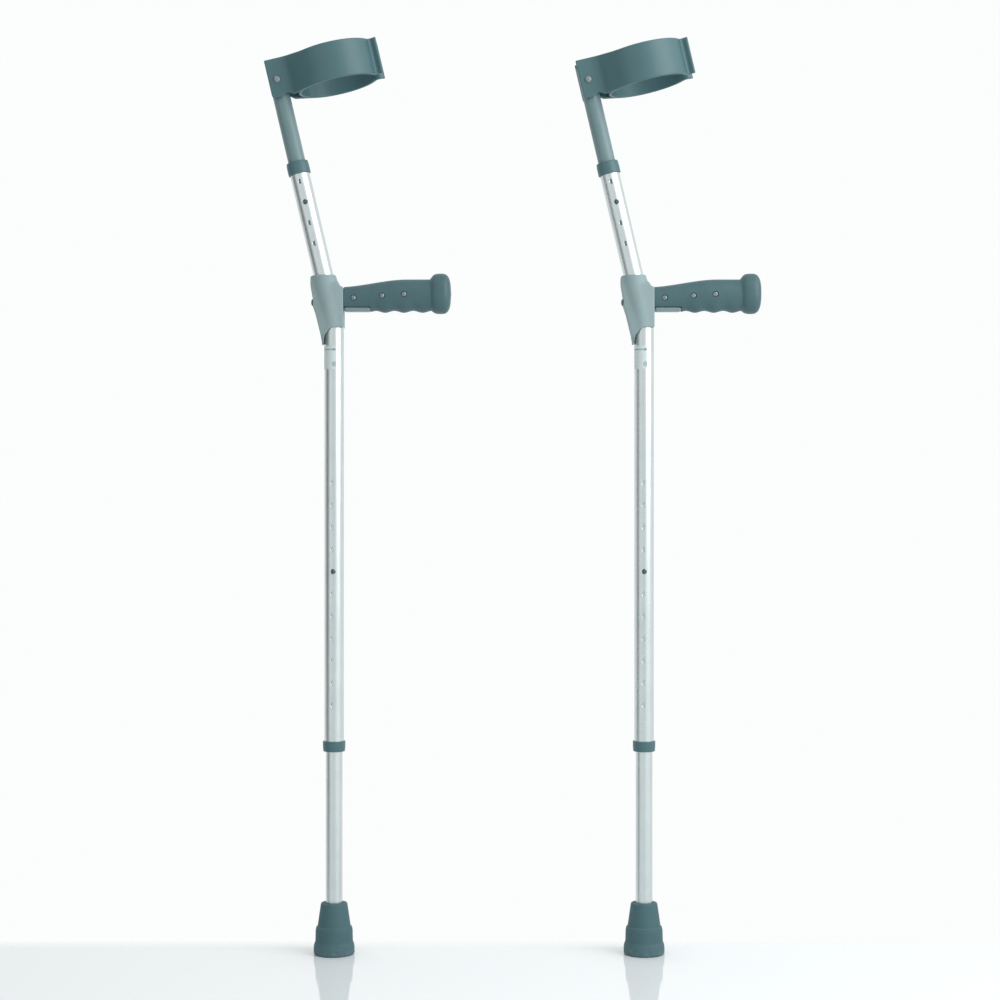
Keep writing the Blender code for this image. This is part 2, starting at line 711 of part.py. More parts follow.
def make_ferrule(side, leg):
    """Rubber foot with a ribbed body, a socket for the leg and a grooved sole."""
    socket = LEG_RADIUS + GAP
    grooves = [(18.5, 15.5), (12.5, 9.5)]
    sole = []
    for outer, inner in grooves:
        sole += [(outer / 1000, 0), (outer / 1000, 0.0020),
                 (inner / 1000, 0.0020), (inner / 1000, 0)]
    profile = [
        (0, FERRULE_FLOOR),
        (socket, FERRULE_FLOOR),
        (socket, FERRULE_HEIGHT),
        (0.0134, FERRULE_HEIGHT),
        (0.0147, FERRULE_HEIGHT - 0.0005),
        (0.0154, FERRULE_HEIGHT - 0.0021),
        (0.0182, 0.0370),
        (0.0188, 0.0325),
        (0.0203, 0.0312),
        (0.0211, 0.0290),
        (0.0214, 0.0150),
        (0.0226, 0.0125),
        (0.0233, 0.0100),
        (0.0234, 0.0030),
        (0.0229, 0.0009),
        (0.0218, 0),
        *sole,
        (0, 0),
    ]
    turned(f"{side}_ferrule", "black_rubber", leg, profile)

    washer = [
        (0, FERRULE_FLOOR + GAP + WASHER_THICKNESS),
        (LEG_RADIUS - 0.0004, FERRULE_FLOOR + GAP + WASHER_THICKNESS),
        (LEG_RADIUS, FERRULE_FLOOR + GAP + WASHER_THICKNESS - 0.0004),
        (LEG_RADIUS, FERRULE_FLOOR + GAP),
        (0, FERRULE_FLOOR + GAP),
    ]
    turned(f"{side}_ferrule_washer", "steel", leg, washer)


def make_stem(side, stem, button):
    """Telescoping stem of the cuff. Its empty's Z is the leaning tube axis."""
    button_along = button.location.z
    tube = make_straight_tube(f"{side}_stem_tube", "grey_powder_coat", stem, STEM_RADIUS,
                              STEM_WALL, button_along - STEM_TAIL, RIVET_ALONG + STEM_HEAD)
    button_drill = cylinder_mesh(f"{side}_stem_button_hole", HOLE_RADIUS, STEM_RADIUS)
    rivet_drill = cylinder_mesh(f"{side}_stem_rivet_hole", RIVET_RADIUS + GAP, 0.040)
    for mesh, place in ((button_drill, (0, -STEM_RADIUS, button_along)),
                        (rivet_drill, (0, 0, RIVET_ALONG))):
        boolean(tube, "DIFFERENCE",
                add_cutter(mesh.name, mesh, stem, place, (math.pi / 2, 0, 0)))
    bore = STEM_RADIUS - STEM_WALL
    make_guide(f"{side}_stem_guide", stem, bore, STEM_RADIUS,
               button_along - STEM_TAIL, False)
    make_snap_button(f"{side}_stem_snap_button", button)
    make_snap_spring(f"{side}_stem_snap_spring",
                     add_empty(f"{side}_stem_spring_seat", stem, (0, 0, button_along)))
    plug = [
        (0, 0.0022),
        (0.0060, 0.0020),
        (STEM_RADIUS - 0.0008, 0.0010),
        (STEM_RADIUS, 0),
        (bore - GAP, 0),
        (bore - GAP, -0.0075),
        (0, -0.0075),
    ]
    turned(f"{side}_stem_plug", "dark_moulded_plastic", stem, plug,
           (0, 0, RIVET_ALONG + STEM_HEAD + GAP))
    make_rivet(side, stem)


def make_rivet(side, stem):
    """Rivet through both cheeks and the stem, with a washer under its far head."""
    cheek = CHEEK_OUTER + GAP
    washer_top = cheek + 0.0011
    far = washer_top + GAP
    rivet = [
        (0, cheek + 0.0019),
        (0.0022, cheek + 0.0016),
        (0.0037, cheek + 0.0007),
        (0.0042, cheek),
        (RIVET_RADIUS, cheek),
        (RIVET_RADIUS, -far),
        (0.0038, -far),
        (0.0034, -far - 0.0008),
        (0.0020, -far - 0.0015),
        (0, -far - 0.0017),
    ]
    turned(f"{side}_cuff_rivet", "steel", stem, rivet, (0, 0, RIVET_ALONG),
           (math.pi / 2, 0, 0), SMALL_SIDES)
    washer = [
        (RIVET_RADIUS + GAP, -cheek),
        (0.0052, -cheek),
        (0.0052, -washer_top),
        (RIVET_RADIUS + GAP, -washer_top),
    ]
    turned(f"{side}_cuff_rivet_washer", "steel", stem, washer, (0, 0, RIVET_ALONG),
           (math.pi / 2, 0, 0), SMALL_SIDES)


# ----------------------------------------------------------------------------------- cuff
def cuff_half_line():
    """Middle of one wall seen along the stem: cheek, flare, ring and lip, front last."""
    flare = 90 - CHEEK_TOUCH
    touch = math.radians(180 - CHEEK_TOUCH)
    touch_u = CUFF_CENTRE + CUFF_MID_RADIUS * math.cos(touch)
    touch_v = CUFF_MID_RADIUS * math.sin(touch)
    cheek_v = CHEEK_OUTER - CUFF_WALL / 2
    corner_u = touch_u - (touch_v - cheek_v) / math.tan(math.radians(flare))
    bend_u = corner_u - CHEEK_FILLET * math.tan(math.radians(flare / 2))
    lip_centre_v = CUFF_LIP_HALF_GAP + CUFF_LIP_BEND
    reach = CUFF_MID_RADIUS + CUFF_LIP_BEND
    meet = math.asin(lip_centre_v / reach)
    lip_centre_u = CUFF_CENTRE + reach * math.cos(meet)
    meet = math.degrees(meet)
    straight = bend_u + CHEEK_BACK
    line = [(straight * k / 8 - CHEEK_BACK, cheek_v) for k in range(8)]
    line += arc((bend_u, cheek_v + CHEEK_FILLET), CHEEK_FILLET, -90, flare - 90, 4)
    line += arc((CUFF_CENTRE, 0), CUFF_MID_RADIUS, 180 - CHEEK_TOUCH, meet, 18)
    line += arc((lip_centre_u, lip_centre_v), CUFF_LIP_BEND, 180 + meet,
                270 + CUFF_LIP_FLARE, 5)[1:]
    last_u, last_v = line[-1]
    rise = math.tan(math.radians(CUFF_LIP_FLARE))
    line.append((CUFF_LIP_REACH, last_v + (CUFF_LIP_REACH - last_u) * rise))
    return line


def cheek_foot(u):
    """Lower edge of a wall: rounded at the back, notched in front of the stem."""
    back = min(u + CHEEK_BACK, LUG_CORNER)
    corner = LUG_CORNER - math.sqrt(LUG_CORNER ** 2 - (LUG_CORNER - back) ** 2)
    notch = NOTCH_RISE * max(1 - abs(u - NOTCH_PLACE) / NOTCH_HALF_WIDTH, 0)
    return -CUFF_HEIGHT / 2 + corner + notch


def wall_ribbon(name, line, foot, top):
    """A bare strip that stands along a line, from its foot up to its top."""
    mesh = bpy.data.meshes.new(name)
    shape = bmesh.new()
    low = [shape.verts.new((u, v, foot(u))) for u, v in line]
    high = [shape.verts.new((u, v, top)) for u, v in line]
    for i in range(len(line) - 1):
        shape.faces.new((low[i], low[i + 1], high[i + 1], high[i]))
    shape.to_mesh(mesh)
    shape.free()
    return mesh


def thicken(piece, thickness):
    wall = piece.modifiers.new("wall", "SOLIDIFY")
    wall.thickness = thickness
    wall.offset = 0
    wall.use_even_offset = True


def make_cuff(side, pivot):
    """Forearm cuff: open ring with two lips, held by two cheeks either side of the stem."""
    name = f"{side}_cuff"
    half_height = CUFF_HEIGHT / 2
    half_line = cuff_half_line()
    near = wall_ribbon(name, half_line, cheek_foot, half_height)
    cuff = add_part(name, near, "dark_moulded_plastic", pivot)
    thicken(cuff, CUFF_WALL)

    arc_half = 180 - CHEEK_TOUCH + 12
    back_line = arc((CUFF_CENTRE, 0), CUFF_MID_RADIUS, arc_half, 360 - arc_half, 16)
    back = wall_ribbon(f"{side}_cuff_back", back_line, lambda u: 0.0003 - half_height,
                       half_height - 0.0003)
    far_line = [(u, -v) for u, v in half_line]
    far = wall_ribbon(f"{side}_cuff_far_wall", far_line, cheek_foot, half_height)
    for mesh, thickness in ((back, CUFF_WALL - 0.0003), (far, CUFF_WALL)):
        wall = add_cutter(mesh.name, mesh, pivot)
        thicken(wall, thickness)
        boolean(cuff, "UNION", wall)
    mesh = cylinder_mesh(f"{side}_cuff_rivet_hole", RIVET_RADIUS + GAP, 0.040)
    boolean(cuff, "DIFFERENCE", add_cutter(mesh.name, mesh, pivot, (0, 0, 0),
                                           (math.pi / 2, 0, 0)))


# ------------------------------------------------------------------------------- assembly
def make_crutch(side, x):
    crutch = add_empty(f"{side}_crutch", None, (x, 0, 0))
    upper = add_empty(f"{side}_upper_axis", crutch, (0, 0, BEND_Z), (0, -BEND_ANGLE, 0))
    leg = add_empty(f"{side}_leg_slide", crutch)
    leg_button = add_empty(f"{side}_leg_button_axis", leg,
                           (0, 0, LEG_HOLE_LOWEST + LEG_BUTTON_HOLE * LEG_PITCH))
    stem = add_empty(f"{side}_cuff_slide", upper)
    stem_button = add_empty(f"{side}_stem_button_axis", stem,
                            (0, 0, STEM_HOLE_LOWEST + STEM_BUTTON_HOLE * STEM_PITCH))
    cuff_pivot = add_empty(f"{side}_cuff_tilt", stem, (0, 0, RIVET_ALONG))
    bpy.context.view_layer.update()

    make_main_tube(side, crutch, upper)
    make_bracket(side, crutch)
    make_handle_bolt(side, crutch)
    make_handle_core(side, crutch)
    make_grip(side, crutch)
    make_grip_screws(side, crutch)
    make_end_plug(side, crutch)
    make_label(side, crutch)
    make_collar(f"{side}_lower_collar", crutch, MAIN_BOTTOM - GAP - COLLAR_LIP,
                LEG_RADIUS, LOWER_COLLAR_LENGTH, upwards=False)
    make_collar(f"{side}_upper_collar", upper, MAIN_TOP + GAP + COLLAR_LIP,
                STEM_RADIUS, UPPER_COLLAR_LENGTH, upwards=True)
    make_leg(side, leg, leg_button)
    make_stem(side, stem, stem_button)
    make_cuff(side, cuff_pivot)


make_crutch("left", PAIR_SHIFT - PAIR_SPACING / 2)
make_crutch("right", PAIR_SHIFT + PAIR_SPACING / 2)
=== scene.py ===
# %% [markdown]
# # A pair of forearm crutches
# Each crutch is one bent aluminium tube with a moulded handle at the bend. A leg on a rubber
# ferrule slides out of its lower end, and a coated stem with a forearm cuff slides out of its
# upper end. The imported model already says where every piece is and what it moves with. Here
# each piece gets its finished shape and surface, and rides on the same body as before.

# %% Load the frame
import json
import math

import bmesh
import bpy
from mathutils import Matrix, Vector


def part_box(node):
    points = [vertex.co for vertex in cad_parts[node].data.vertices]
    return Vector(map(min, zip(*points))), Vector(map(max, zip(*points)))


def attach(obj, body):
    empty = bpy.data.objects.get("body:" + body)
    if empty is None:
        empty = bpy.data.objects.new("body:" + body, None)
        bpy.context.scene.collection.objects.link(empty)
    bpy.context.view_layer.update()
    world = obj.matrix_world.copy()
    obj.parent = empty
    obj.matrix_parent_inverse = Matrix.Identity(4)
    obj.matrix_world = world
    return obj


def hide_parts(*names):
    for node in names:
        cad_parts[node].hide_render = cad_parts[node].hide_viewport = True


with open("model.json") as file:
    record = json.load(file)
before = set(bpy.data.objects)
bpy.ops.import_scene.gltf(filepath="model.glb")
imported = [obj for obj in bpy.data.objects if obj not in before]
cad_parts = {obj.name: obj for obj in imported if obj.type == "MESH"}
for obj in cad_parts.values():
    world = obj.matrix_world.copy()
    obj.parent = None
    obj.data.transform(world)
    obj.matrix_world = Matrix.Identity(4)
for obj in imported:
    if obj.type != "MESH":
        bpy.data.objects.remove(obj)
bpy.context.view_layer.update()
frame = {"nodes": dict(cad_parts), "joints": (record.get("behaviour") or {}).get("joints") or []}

scene = bpy.context.scene

# %% [markdown]
# ## Working in millimetres
# Both crutches are the same, so each shape is made once, in the millimetres a workshop would
# use, with the origin on the floor under the tube. A few lengths are read from the frame: where
# each crutch stands, how far the upper tube leans, and where the cuff's rivet is.

# %% Measures from the frame
MM = 0.001
SIDES = ("left", "right")
JOINTS = {joint["name"]: joint for joint in frame["joints"]}


def middle(node):
    low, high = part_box(node)
    return (low + high) / 2


AXIS_X = {side: middle(f"{side}_leg_tube").x for side in SIDES}
FLOOR_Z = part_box("left_ferrule")[0].z
LEAN_AXIS = JOINTS["left_cuff_slide"]["axis"]
LEAN = math.atan2(-LEAN_AXIS[0], LEAN_AXIS[2])
RIVET = (Vector(JOINTS["left_cuff_tilt"]["pos_m"]) - Vector((AXIS_X["left"], 0, 0))) / MM
RIVET_ALONG = -RIVET.x / math.sin(LEAN)
BEND_Z = RIVET.z - RIVET_ALONG * math.cos(LEAN)


def raised(height):
    return Matrix.Translation((0, 0, height))


UPPER = raised(BEND_Z) @ Matrix.Rotation(-LEAN, 4, "Y")
CUFF_PLACE = UPPER @ raised(RIVET_ALONG)
FACING_FRONT = Matrix.Rotation(math.pi / 2, 4, "X")
FACING_SIDE = Matrix.Rotation(math.pi / 2, 4, "Y")
LEG_BUTTON_Z = middle("left_leg_snap_button").z / MM
STEM_BUTTON_ALONG = (middle("left_stem_snap_button").z / MM - BEND_Z) / math.cos(LEAN)
print(f"lean {math.degrees(LEAN):.1f} degrees, bend at {BEND_Z:.1f} mm, leg button at "
      f"{LEG_BUTTON_Z:.1f} mm, stem button {STEM_BUTTON_ALONG:.1f} mm above the bend")

# %% [markdown]
# ## Shapes from profiles
# Most pieces of a crutch are turned, drawn or moulded, so a few ways of making a mesh are
# enough. A list of corners with a rounding for each is how a maker would dimension a profile.
# Turning it about an axis gives collars, rivets, screws and the ferrule.

# %% Rounded corners and turned pieces
ROUNDING_STEPS = 5
SHARP_ANGLE = 40


def rounded(corners, closed=False):
    """Points along corners given as (a, b, rounding), with each corner eased."""
    points = []
    count = len(corners)
    for i, (a, b, rounding) in enumerate(corners):
        if rounding == 0 or (not closed and i in (0, count - 1)):
            points.append((a, b))
            continue
        corner = Vector((a, b))
        before = Vector(corners[i - 1][:2]) - corner
        after = Vector(corners[(i + 1) % count][:2]) - corner
        half_angle = before.angle(after) / 2
        reach = min(rounding / math.tan(half_angle), 0.48 * before.length,
                    0.48 * after.length)
        start = corner + before.normalized() * reach
        end = corner + after.normalized() * reach
        for k in range(ROUNDING_STEPS + 1):
            t = k / ROUNDING_STEPS
            points.append(tuple(start * (1 - t) ** 2 + corner * 2 * t * (1 - t)
                                + end * t ** 2))
    return points


def make_mesh(name, points, faces, place=Matrix.Identity(4)):
    """A smooth mesh from points in millimetres, with its faces turned outwards."""
    mesh = bpy.data.meshes.new(name)
    shape = bmesh.new()
    verts = [shape.verts.new(place @ Vector(point)) for point in points]
    for face in faces:
        shape.faces.new([verts[i] for i in face])
    bmesh.ops.recalc_face_normals(shape, faces=shape.faces)
    bmesh.ops.scale(shape, vec=(MM, MM, MM), verts=shape.verts)
    shape.to_mesh(mesh)
    shape.free()
    return smooth(mesh)


def smooth(mesh):
    mesh.shade_smooth()
    mesh.set_sharp_from_angle(angle=math.radians(SHARP_ANGLE))
    return mesh


def turned(name, corners, place=Matrix.Identity(4), sides=72):
    """Turns a profile of (radius, height, rounding) about Z. Off the axis it makes a ring."""
    profile = rounded(corners)
    points, rings, faces = [], [], []
    for radius, height in profile:
        start = len(points)
        if radius < 1e-6:
            points.append((0, 0, height))
            rings.append([start] * sides)
            continue
        for i in range(sides):
            angle = math.tau * i / sides
            points.append((radius * math.cos(angle), radius * math.sin(angle), height))
        rings.append(list(range(start, start + sides)))
    if profile[0][0] > 1e-6:
        rings.append(rings[0])
    for first, second in zip(rings, rings[1:]):
        for i in range(sides):
            j = (i + 1) % sides
            corners_used = dict.fromkeys((first[i], first[j], second[j], second[i]))
            faces.append(tuple(corners_used))
    return make_mesh(name, points, faces, place)


# %% [markdown]
# Moulded pieces start as plain solids that are joined, cut and softened. Blender's modifiers do
# that well, so this helper runs a stack of them and keeps only the result.


# %% Worked meshes
def placed(name, data):
    """A new object in the scene."""
    made = bpy.data.objects.new(name, data)
    scene.collection.objects.link(made)
    return made


def worked(mesh, *steps):
    """The mesh after a stack of modifiers, each given as its type and settings."""
    holder = placed(mesh.name, mesh)
    tools = []
    for kind, settings in steps:
        modifier = holder.modifiers.new(kind.lower(), kind)
        for key, value in settings.items():
            if isinstance(value, bpy.types.Mesh):
                value = placed(value.name, value)
                tools.append(value)
            setattr(modifier, key, value)
    evaluated = holder.evaluated_get(bpy.context.evaluated_depsgraph_get())
    made = bpy.data.meshes.new_from_object(evaluated)
    made.name = mesh.name
    for used in (holder, *tools):
        bpy.data.objects.remove(used)
    return smooth(made)


def boolean(tool, operation):
    return "BOOLEAN", {"operation": operation, "solver": "EXACT", "object": tool}


def cut(tool):
    return boolean(tool, "DIFFERENCE")


def join(tool):
    return boolean(tool, "UNION")


def rod(name, radius, low, high, place, sides):
    """A plain round cutter about Z."""
    return turned(name, [(0, low, 0), (radius, low, 0), (radius, high, 0), (0, high, 0)],
                  place, sides)


def prism(name, outline, half_width, place=Matrix.Identity(4)):
    """A flat outline of (x, z) points, as thick as twice the half width along Y."""
    count = len(outline)
    points = [(x, y, z) for y in (-half_width, half_width) for x, z in outline]
    faces = [tuple(range(count)), tuple(range(2 * count - 1, count - 1, -1))]
    faces += [(i, (i + 1) % count, count + (i + 1) % count, count + i)
              for i in range(count)]
    return make_mesh(name, points, faces, place)


def lofted(name, rings, place=Matrix.Identity(4)):
    """Joins closed rings of points in turn and caps both ends."""
    size = len(rings[0])
    points = [point for ring in rings for point in ring]
    faces = [tuple(range(size - 1, -1, -1)),
             tuple(range(len(points) - size, len(points)))]
    for row in range(len(rings) - 1):
        for i in range(size):
            j = (i + 1) % size
            faces.append((row * size + i, row * size + j,
                          (row + 1) * size + j, (row + 1) * size + i))
    return make_mesh(name, points, faces, place)


# %% [markdown]
# Every finished piece is placed on both crutches, hides the plain solid that it stands for, and
# rides on the same body, so that it moves with the joints.


# %% Placing a piece on both crutches
def fit(piece, mesh, finish, body, nodes):
    mesh.materials.clear()
    mesh.materials.append(finish)
    for side in SIDES:
        made = placed(f"{side}_{piece}", mesh)
        made.location = (AXIS_X[side], 0, FLOOR_Z)
        normals = made.modifiers.new("flat faces lead", "WEIGHTED_NORMAL")
        normals.keep_sharp = True
        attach(made, f"{side}_{body}")
        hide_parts(*[f"{side}_{node}" for node in nodes])
    print(f"{piece}: {len(mesh.vertices)} vertices, {len(mesh.polygons)} faces")


# %% [markdown]
# ## Colour and node helpers
# Colours are written as the sRGB hex values that people read from a chart, and shaders want
# linear light, so one function converts them. Another adds a node with its settings and links.


# %% Hex colours and nodes
def linear(hex_colour):
    channels = [int(hex_colour[i:i + 2], 16) / 255 for i in (1, 3, 5)]
    return (*[c / 12.92 if c <= 0.04045 else ((c + 0.055) / 1.055) ** 2.4
              for c in channels], 1.0)


def add_node(tree, kind, links=None, **settings):
    """Adds a node. Links maps each input to a value or to another node's output."""
    made = tree.nodes.new("ShaderNode" + kind)
    for key, value in settings.items():
        setattr(made, key, value)
    for socket, value in (links or {}).items():
        if isinstance(value, bpy.types.NodeSocket):
            tree.links.new(value, made.inputs[socket])
        else:
            made.inputs[socket].default_value = value
    return made


def new_material(name, metallic, ior=None):
    """A material with its tree, its shader and the piece's own coordinates."""
    material = bpy.data.materials.new(name)
    material.use_nodes = True
    tree = material.node_tree
    shader = tree.nodes["Principled BSDF"]
    shader.inputs["Metallic"].default_value = metallic
    if ior:
        shader.inputs["IOR"].default_value = ior
    coordinates = add_node(tree, "TexCoord").outputs["Object"]
    return material, tree, shader, coordinates


def per_mm(size):
    """The texture scale at which one feature is this many millimetres."""
    return 1 / (size * MM)


def noise(tree, vector, size, detail=2.0):
    return add_node(tree, "TexNoise", {"Vector": vector, "Scale": per_mm(size),
                                       "Detail": detail}).outputs["Fac"]


def spread(tree, value, low, high, from_low=0.3, from_high=0.7):
    """Maps a pattern onto a range of values."""
    return add_node(tree, "MapRange", {"Value": value, "From Min": from_low,
                                       "From Max": from_high, "To Min": low,
                                       "To Max": high}).outputs["Result"]


def calculate(tree, operation, *values):
    """One step of arithmetic, on numbers or on other nodes' outputs."""
    return add_node(tree, "Math", dict(enumerate(values)),
                    operation=operation).outputs["Value"]


def between(tree, factor, first, second):
    """A colour between two others, each a hex value or another node's output."""
    factor_in, first_in, second_in, colour_out = 0, 6, 7, 2
    first, second = [linear(colour) if isinstance(colour, str) else colour
                     for colour in (first, second)]
    mixed = add_node(tree, "Mix", {factor_in: factor, first_in: first, second_in: second},
                     data_type="RGBA")
    return mixed.outputs[colour_out]


def surface(tree, shader, colour, roughness, relief=None, strength=0.0, depth=0.0):
    """Links up a surface. Relief is a pattern this many millimetres deep at full strength."""
    tree.links.new(colour, shader.inputs["Base Color"])
    tree.links.new(roughness, shader.inputs["Roughness"])
    if relief:
        bump = add_node(tree, "Bump", {"Height": relief, "Strength": strength,
                                       "Distance": depth * MM})
        tree.links.new(bump.outputs["Normal"], shader.inputs["Normal"])


print("helpers ready")

# %% [markdown]
# ## Anodised aluminium
# The tubes are drawn through a die and then satin anodised. Drawing leaves hair-fine lines along
# the tube, which blur a reflection more across the tube than along it. Real lines are a few
# hundredths of a millimetre wide, too fine to show, so here they are drawn 0.5 mm wide. It is a
# metal, so its colour is its reflection and its IOR stays at the default.

# %% Aluminium
LINE_WIDTH = 0.5
LINE_STRETCH = 0.015


def drawn_aluminium(name, pale, deep, roughness):
    material, tree, shader, coordinates = new_material(name, metallic=1.0)
    along = add_node(tree, "Mapping", {"Vector": coordinates,
                                       "Scale": (1, 1, LINE_STRETCH)}).outputs["Vector"]
    lines = noise(tree, along, LINE_WIDTH, detail=3.0)
    clouds = noise(tree, coordinates, 24.0)
    surface(tree, shader, between(tree, clouds, pale, deep),
            spread(tree, lines, roughness - 0.05, roughness + 0.06), lines, 0.10, 0.02)
    return material


ALUMINIUM = drawn_aluminium("drawn_anodised_aluminium", "#d3dcdc", "#c6cfd0", 0.33)
print("aluminium lines are", LINE_WIDTH, "mm wide")

# %% [markdown]
# ## Powder coat
# The stem is sprayed with dry powder and baked. The melt leaves a soft orange peel about a
# millimetre across and a low sheen, a little cloudy from one place to the next.

# %% Powder coat
PEEL_SIZE = 1.1


def powder_coat(name, pale, deep):
    material, tree, shader, coordinates = new_material(name, metallic=0.0, ior=1.5)
    peel = noise(tree, coordinates, PEEL_SIZE, detail=1.0)
    clouds = noise(tree, coordinates, 16.0)
    surface(tree, shader, between(tree, clouds, pale, deep),
            spread(tree, peel, 0.36, 0.46), peel, 0.25, 0.08)
    return material


POWDER_COAT = powder_coat("satin_powder_coat", "#688184", "#5f787b")
print("powder coat peel is", PEEL_SIZE, "mm across")

# %% [markdown]
# ## Moulded plastics
# Injection moulding copies the steel mould. Cuffs and collars are polypropylene from a mould
# that was spark eroded, which gives an even grain of pits about 0.3 mm across. The bracket is a
# glass-filled nylon, drier and coarser. Both have a slightly cloudy colour from the melt's flow.

# %% Polypropylene and nylon
def moulded_plastic(name, pale, deep, grain, depth, low_roughness, high_roughness):
    material, tree, shader, coordinates = new_material(name, metallic=0.0, ior=1.49)
    pits = noise(tree, coordinates, grain, detail=2.0)
    flow = noise(tree, coordinates, 30.0, detail=3.0)
    speckle = spread(tree, pits, 0.0, 0.35)
    cloudy = calculate(tree, "ADD", flow, speckle)
    surface(tree, shader, between(tree, cloudy, deep, pale),
            spread(tree, pits, low_roughness, high_roughness), pits, 0.35, depth)
    return material


CUFF_PLASTIC = moulded_plastic("spark_grained_polypropylene", "#42656a", "#3a5c60",
                               0.6, 0.05, 0.40, 0.50)
BRACKET_PLASTIC = moulded_plastic("glass_filled_nylon", "#889c9e", "#788e91",
                                  0.9, 0.08, 0.52, 0.64)
CORE_PLASTIC = moulded_plastic("plain_moulded_nylon", "#748a8c", "#698083",
                               0.6, 0.04, 0.40, 0.50)
print("moulded plastics ready")

# %% [markdown]
# ## Grip and ferrule rubber
# The grip is soft PVC over the core. Its mould has a fine leather grain, so that it doesn't slip
# in a damp hand: cells about a millimetre across with narrow creases between them. The ferrule
# is black vulcanised rubber that has dulled to grey. It is matt, and dust has settled on the
# flare just above the floor.

# %% Grip and ferrule
GRAIN_CELL = 1.3
DUST_TOP = 14.0


def grained_vinyl(name, pale, deep):
    material, tree, shader, coordinates = new_material(name, metallic=0.0, ior=1.5)
    cells = add_node(tree, "TexVoronoi", {"Vector": coordinates,
                                          "Scale": per_mm(GRAIN_CELL)},
                     feature="DISTANCE_TO_EDGE").outputs["Distance"]
    creases = spread(tree, cells, 0.0, 1.0, 0.0, 0.18)
    clouds = noise(tree, coordinates, 20.0)
    surface(tree, shader, between(tree, clouds, deep, pale),
            spread(tree, creases, 0.56, 0.44, 0.0, 1.0), creases, 0.30, 0.08)
    return material


def dusty_rubber(name, pale, deep, dust):
    material, tree, shader, coordinates = new_material(name, metallic=0.0, ior=1.5)
    pores = noise(tree, coordinates, 0.7, detail=3.0)
    clouds = noise(tree, coordinates, 12.0)
    height = add_node(tree, "SeparateXYZ", {"Vector": coordinates}).outputs["Z"]
    low_down = spread(tree, height, 1.0, 0.0, 0.0, DUST_TOP * MM)
    patchy = spread(tree, noise(tree, coordinates, 5.0, detail=4.0), 0.0, 0.45)
    dusty = calculate(tree, "MULTIPLY", low_down, patchy)
    rubber = between(tree, clouds, deep, pale)
    surface(tree, shader, between(tree, dusty, rubber, dust),
            spread(tree, pores, 0.66, 0.82), pores, 0.35, 0.08)
    return material


GRIP_VINYL = grained_vinyl("leather_grained_soft_vinyl", "#3c5d61", "#33545a")
RUBBER = dusty_rubber("vulcanised_rubber", "#41636a", "#3a5b60", "#73888a")
print("grip grain is", GRAIN_CELL, "mm across")

# %% [markdown]
# ## Small steel parts
# Rivets, screws and bolts are steel with a thin zinc plate. The plate is bright but never quite
# even, so its roughness wanders. Spring strip is bare, darker steel.

# %% Steel
def plated_steel(name, pale, deep, roughness):
    material, tree, shader, coordinates = new_material(name, metallic=1.0)
    clouds = noise(tree, coordinates, 1.5, detail=3.0)
    surface(tree, shader, between(tree, clouds, pale, deep),
            spread(tree, clouds, roughness - 0.06, roughness + 0.08), clouds, 0.10, 0.03)
    return material


ZINC = plated_steel("zinc_plated_steel", "#8d9a9c", "#7b898b", 0.42)
DARK_STEEL = plated_steel("chemically_blackened_steel", "#5d7274", "#4e6365", 0.34)
SPRING_STEEL = plated_steel("bare_spring_steel", "#8d9697", "#767f80", 0.32)
print("steels ready")

# %% [markdown]
# ## Drilled tubes
# A tube wall with round holes could be cut with booleans, but those leave long thin faces that
# shade badly on a shiny cylinder. Instead the wall is a grid in height and angle, and the grid
# squares round each hole are swapped for a patch whose inner edge is the hole. The rim has a
# small chamfer, as a deburred hole has, and so have the tube's ends.

# %% A tube with holes
PATCH_CELLS = 6
PATCH_REACH = 1.6
RIM_CHAMFER = 0.28


def filled(stops, widest, closing=None):
    """The stops in order, with more between them so that no step is wider than widest."""
    ordered = sorted(set(round(stop, 6) for stop in stops))
    if closing is not None:
        ordered.append(ordered[0] + closing)
    made = []
    for first, second in zip(ordered, ordered[1:]):
        count = max(1, math.ceil((second - first) / widest))
        made += [first + (second - first) * k / count for k in range(count)]
    return made if closing is not None else made + [ordered[-1]]


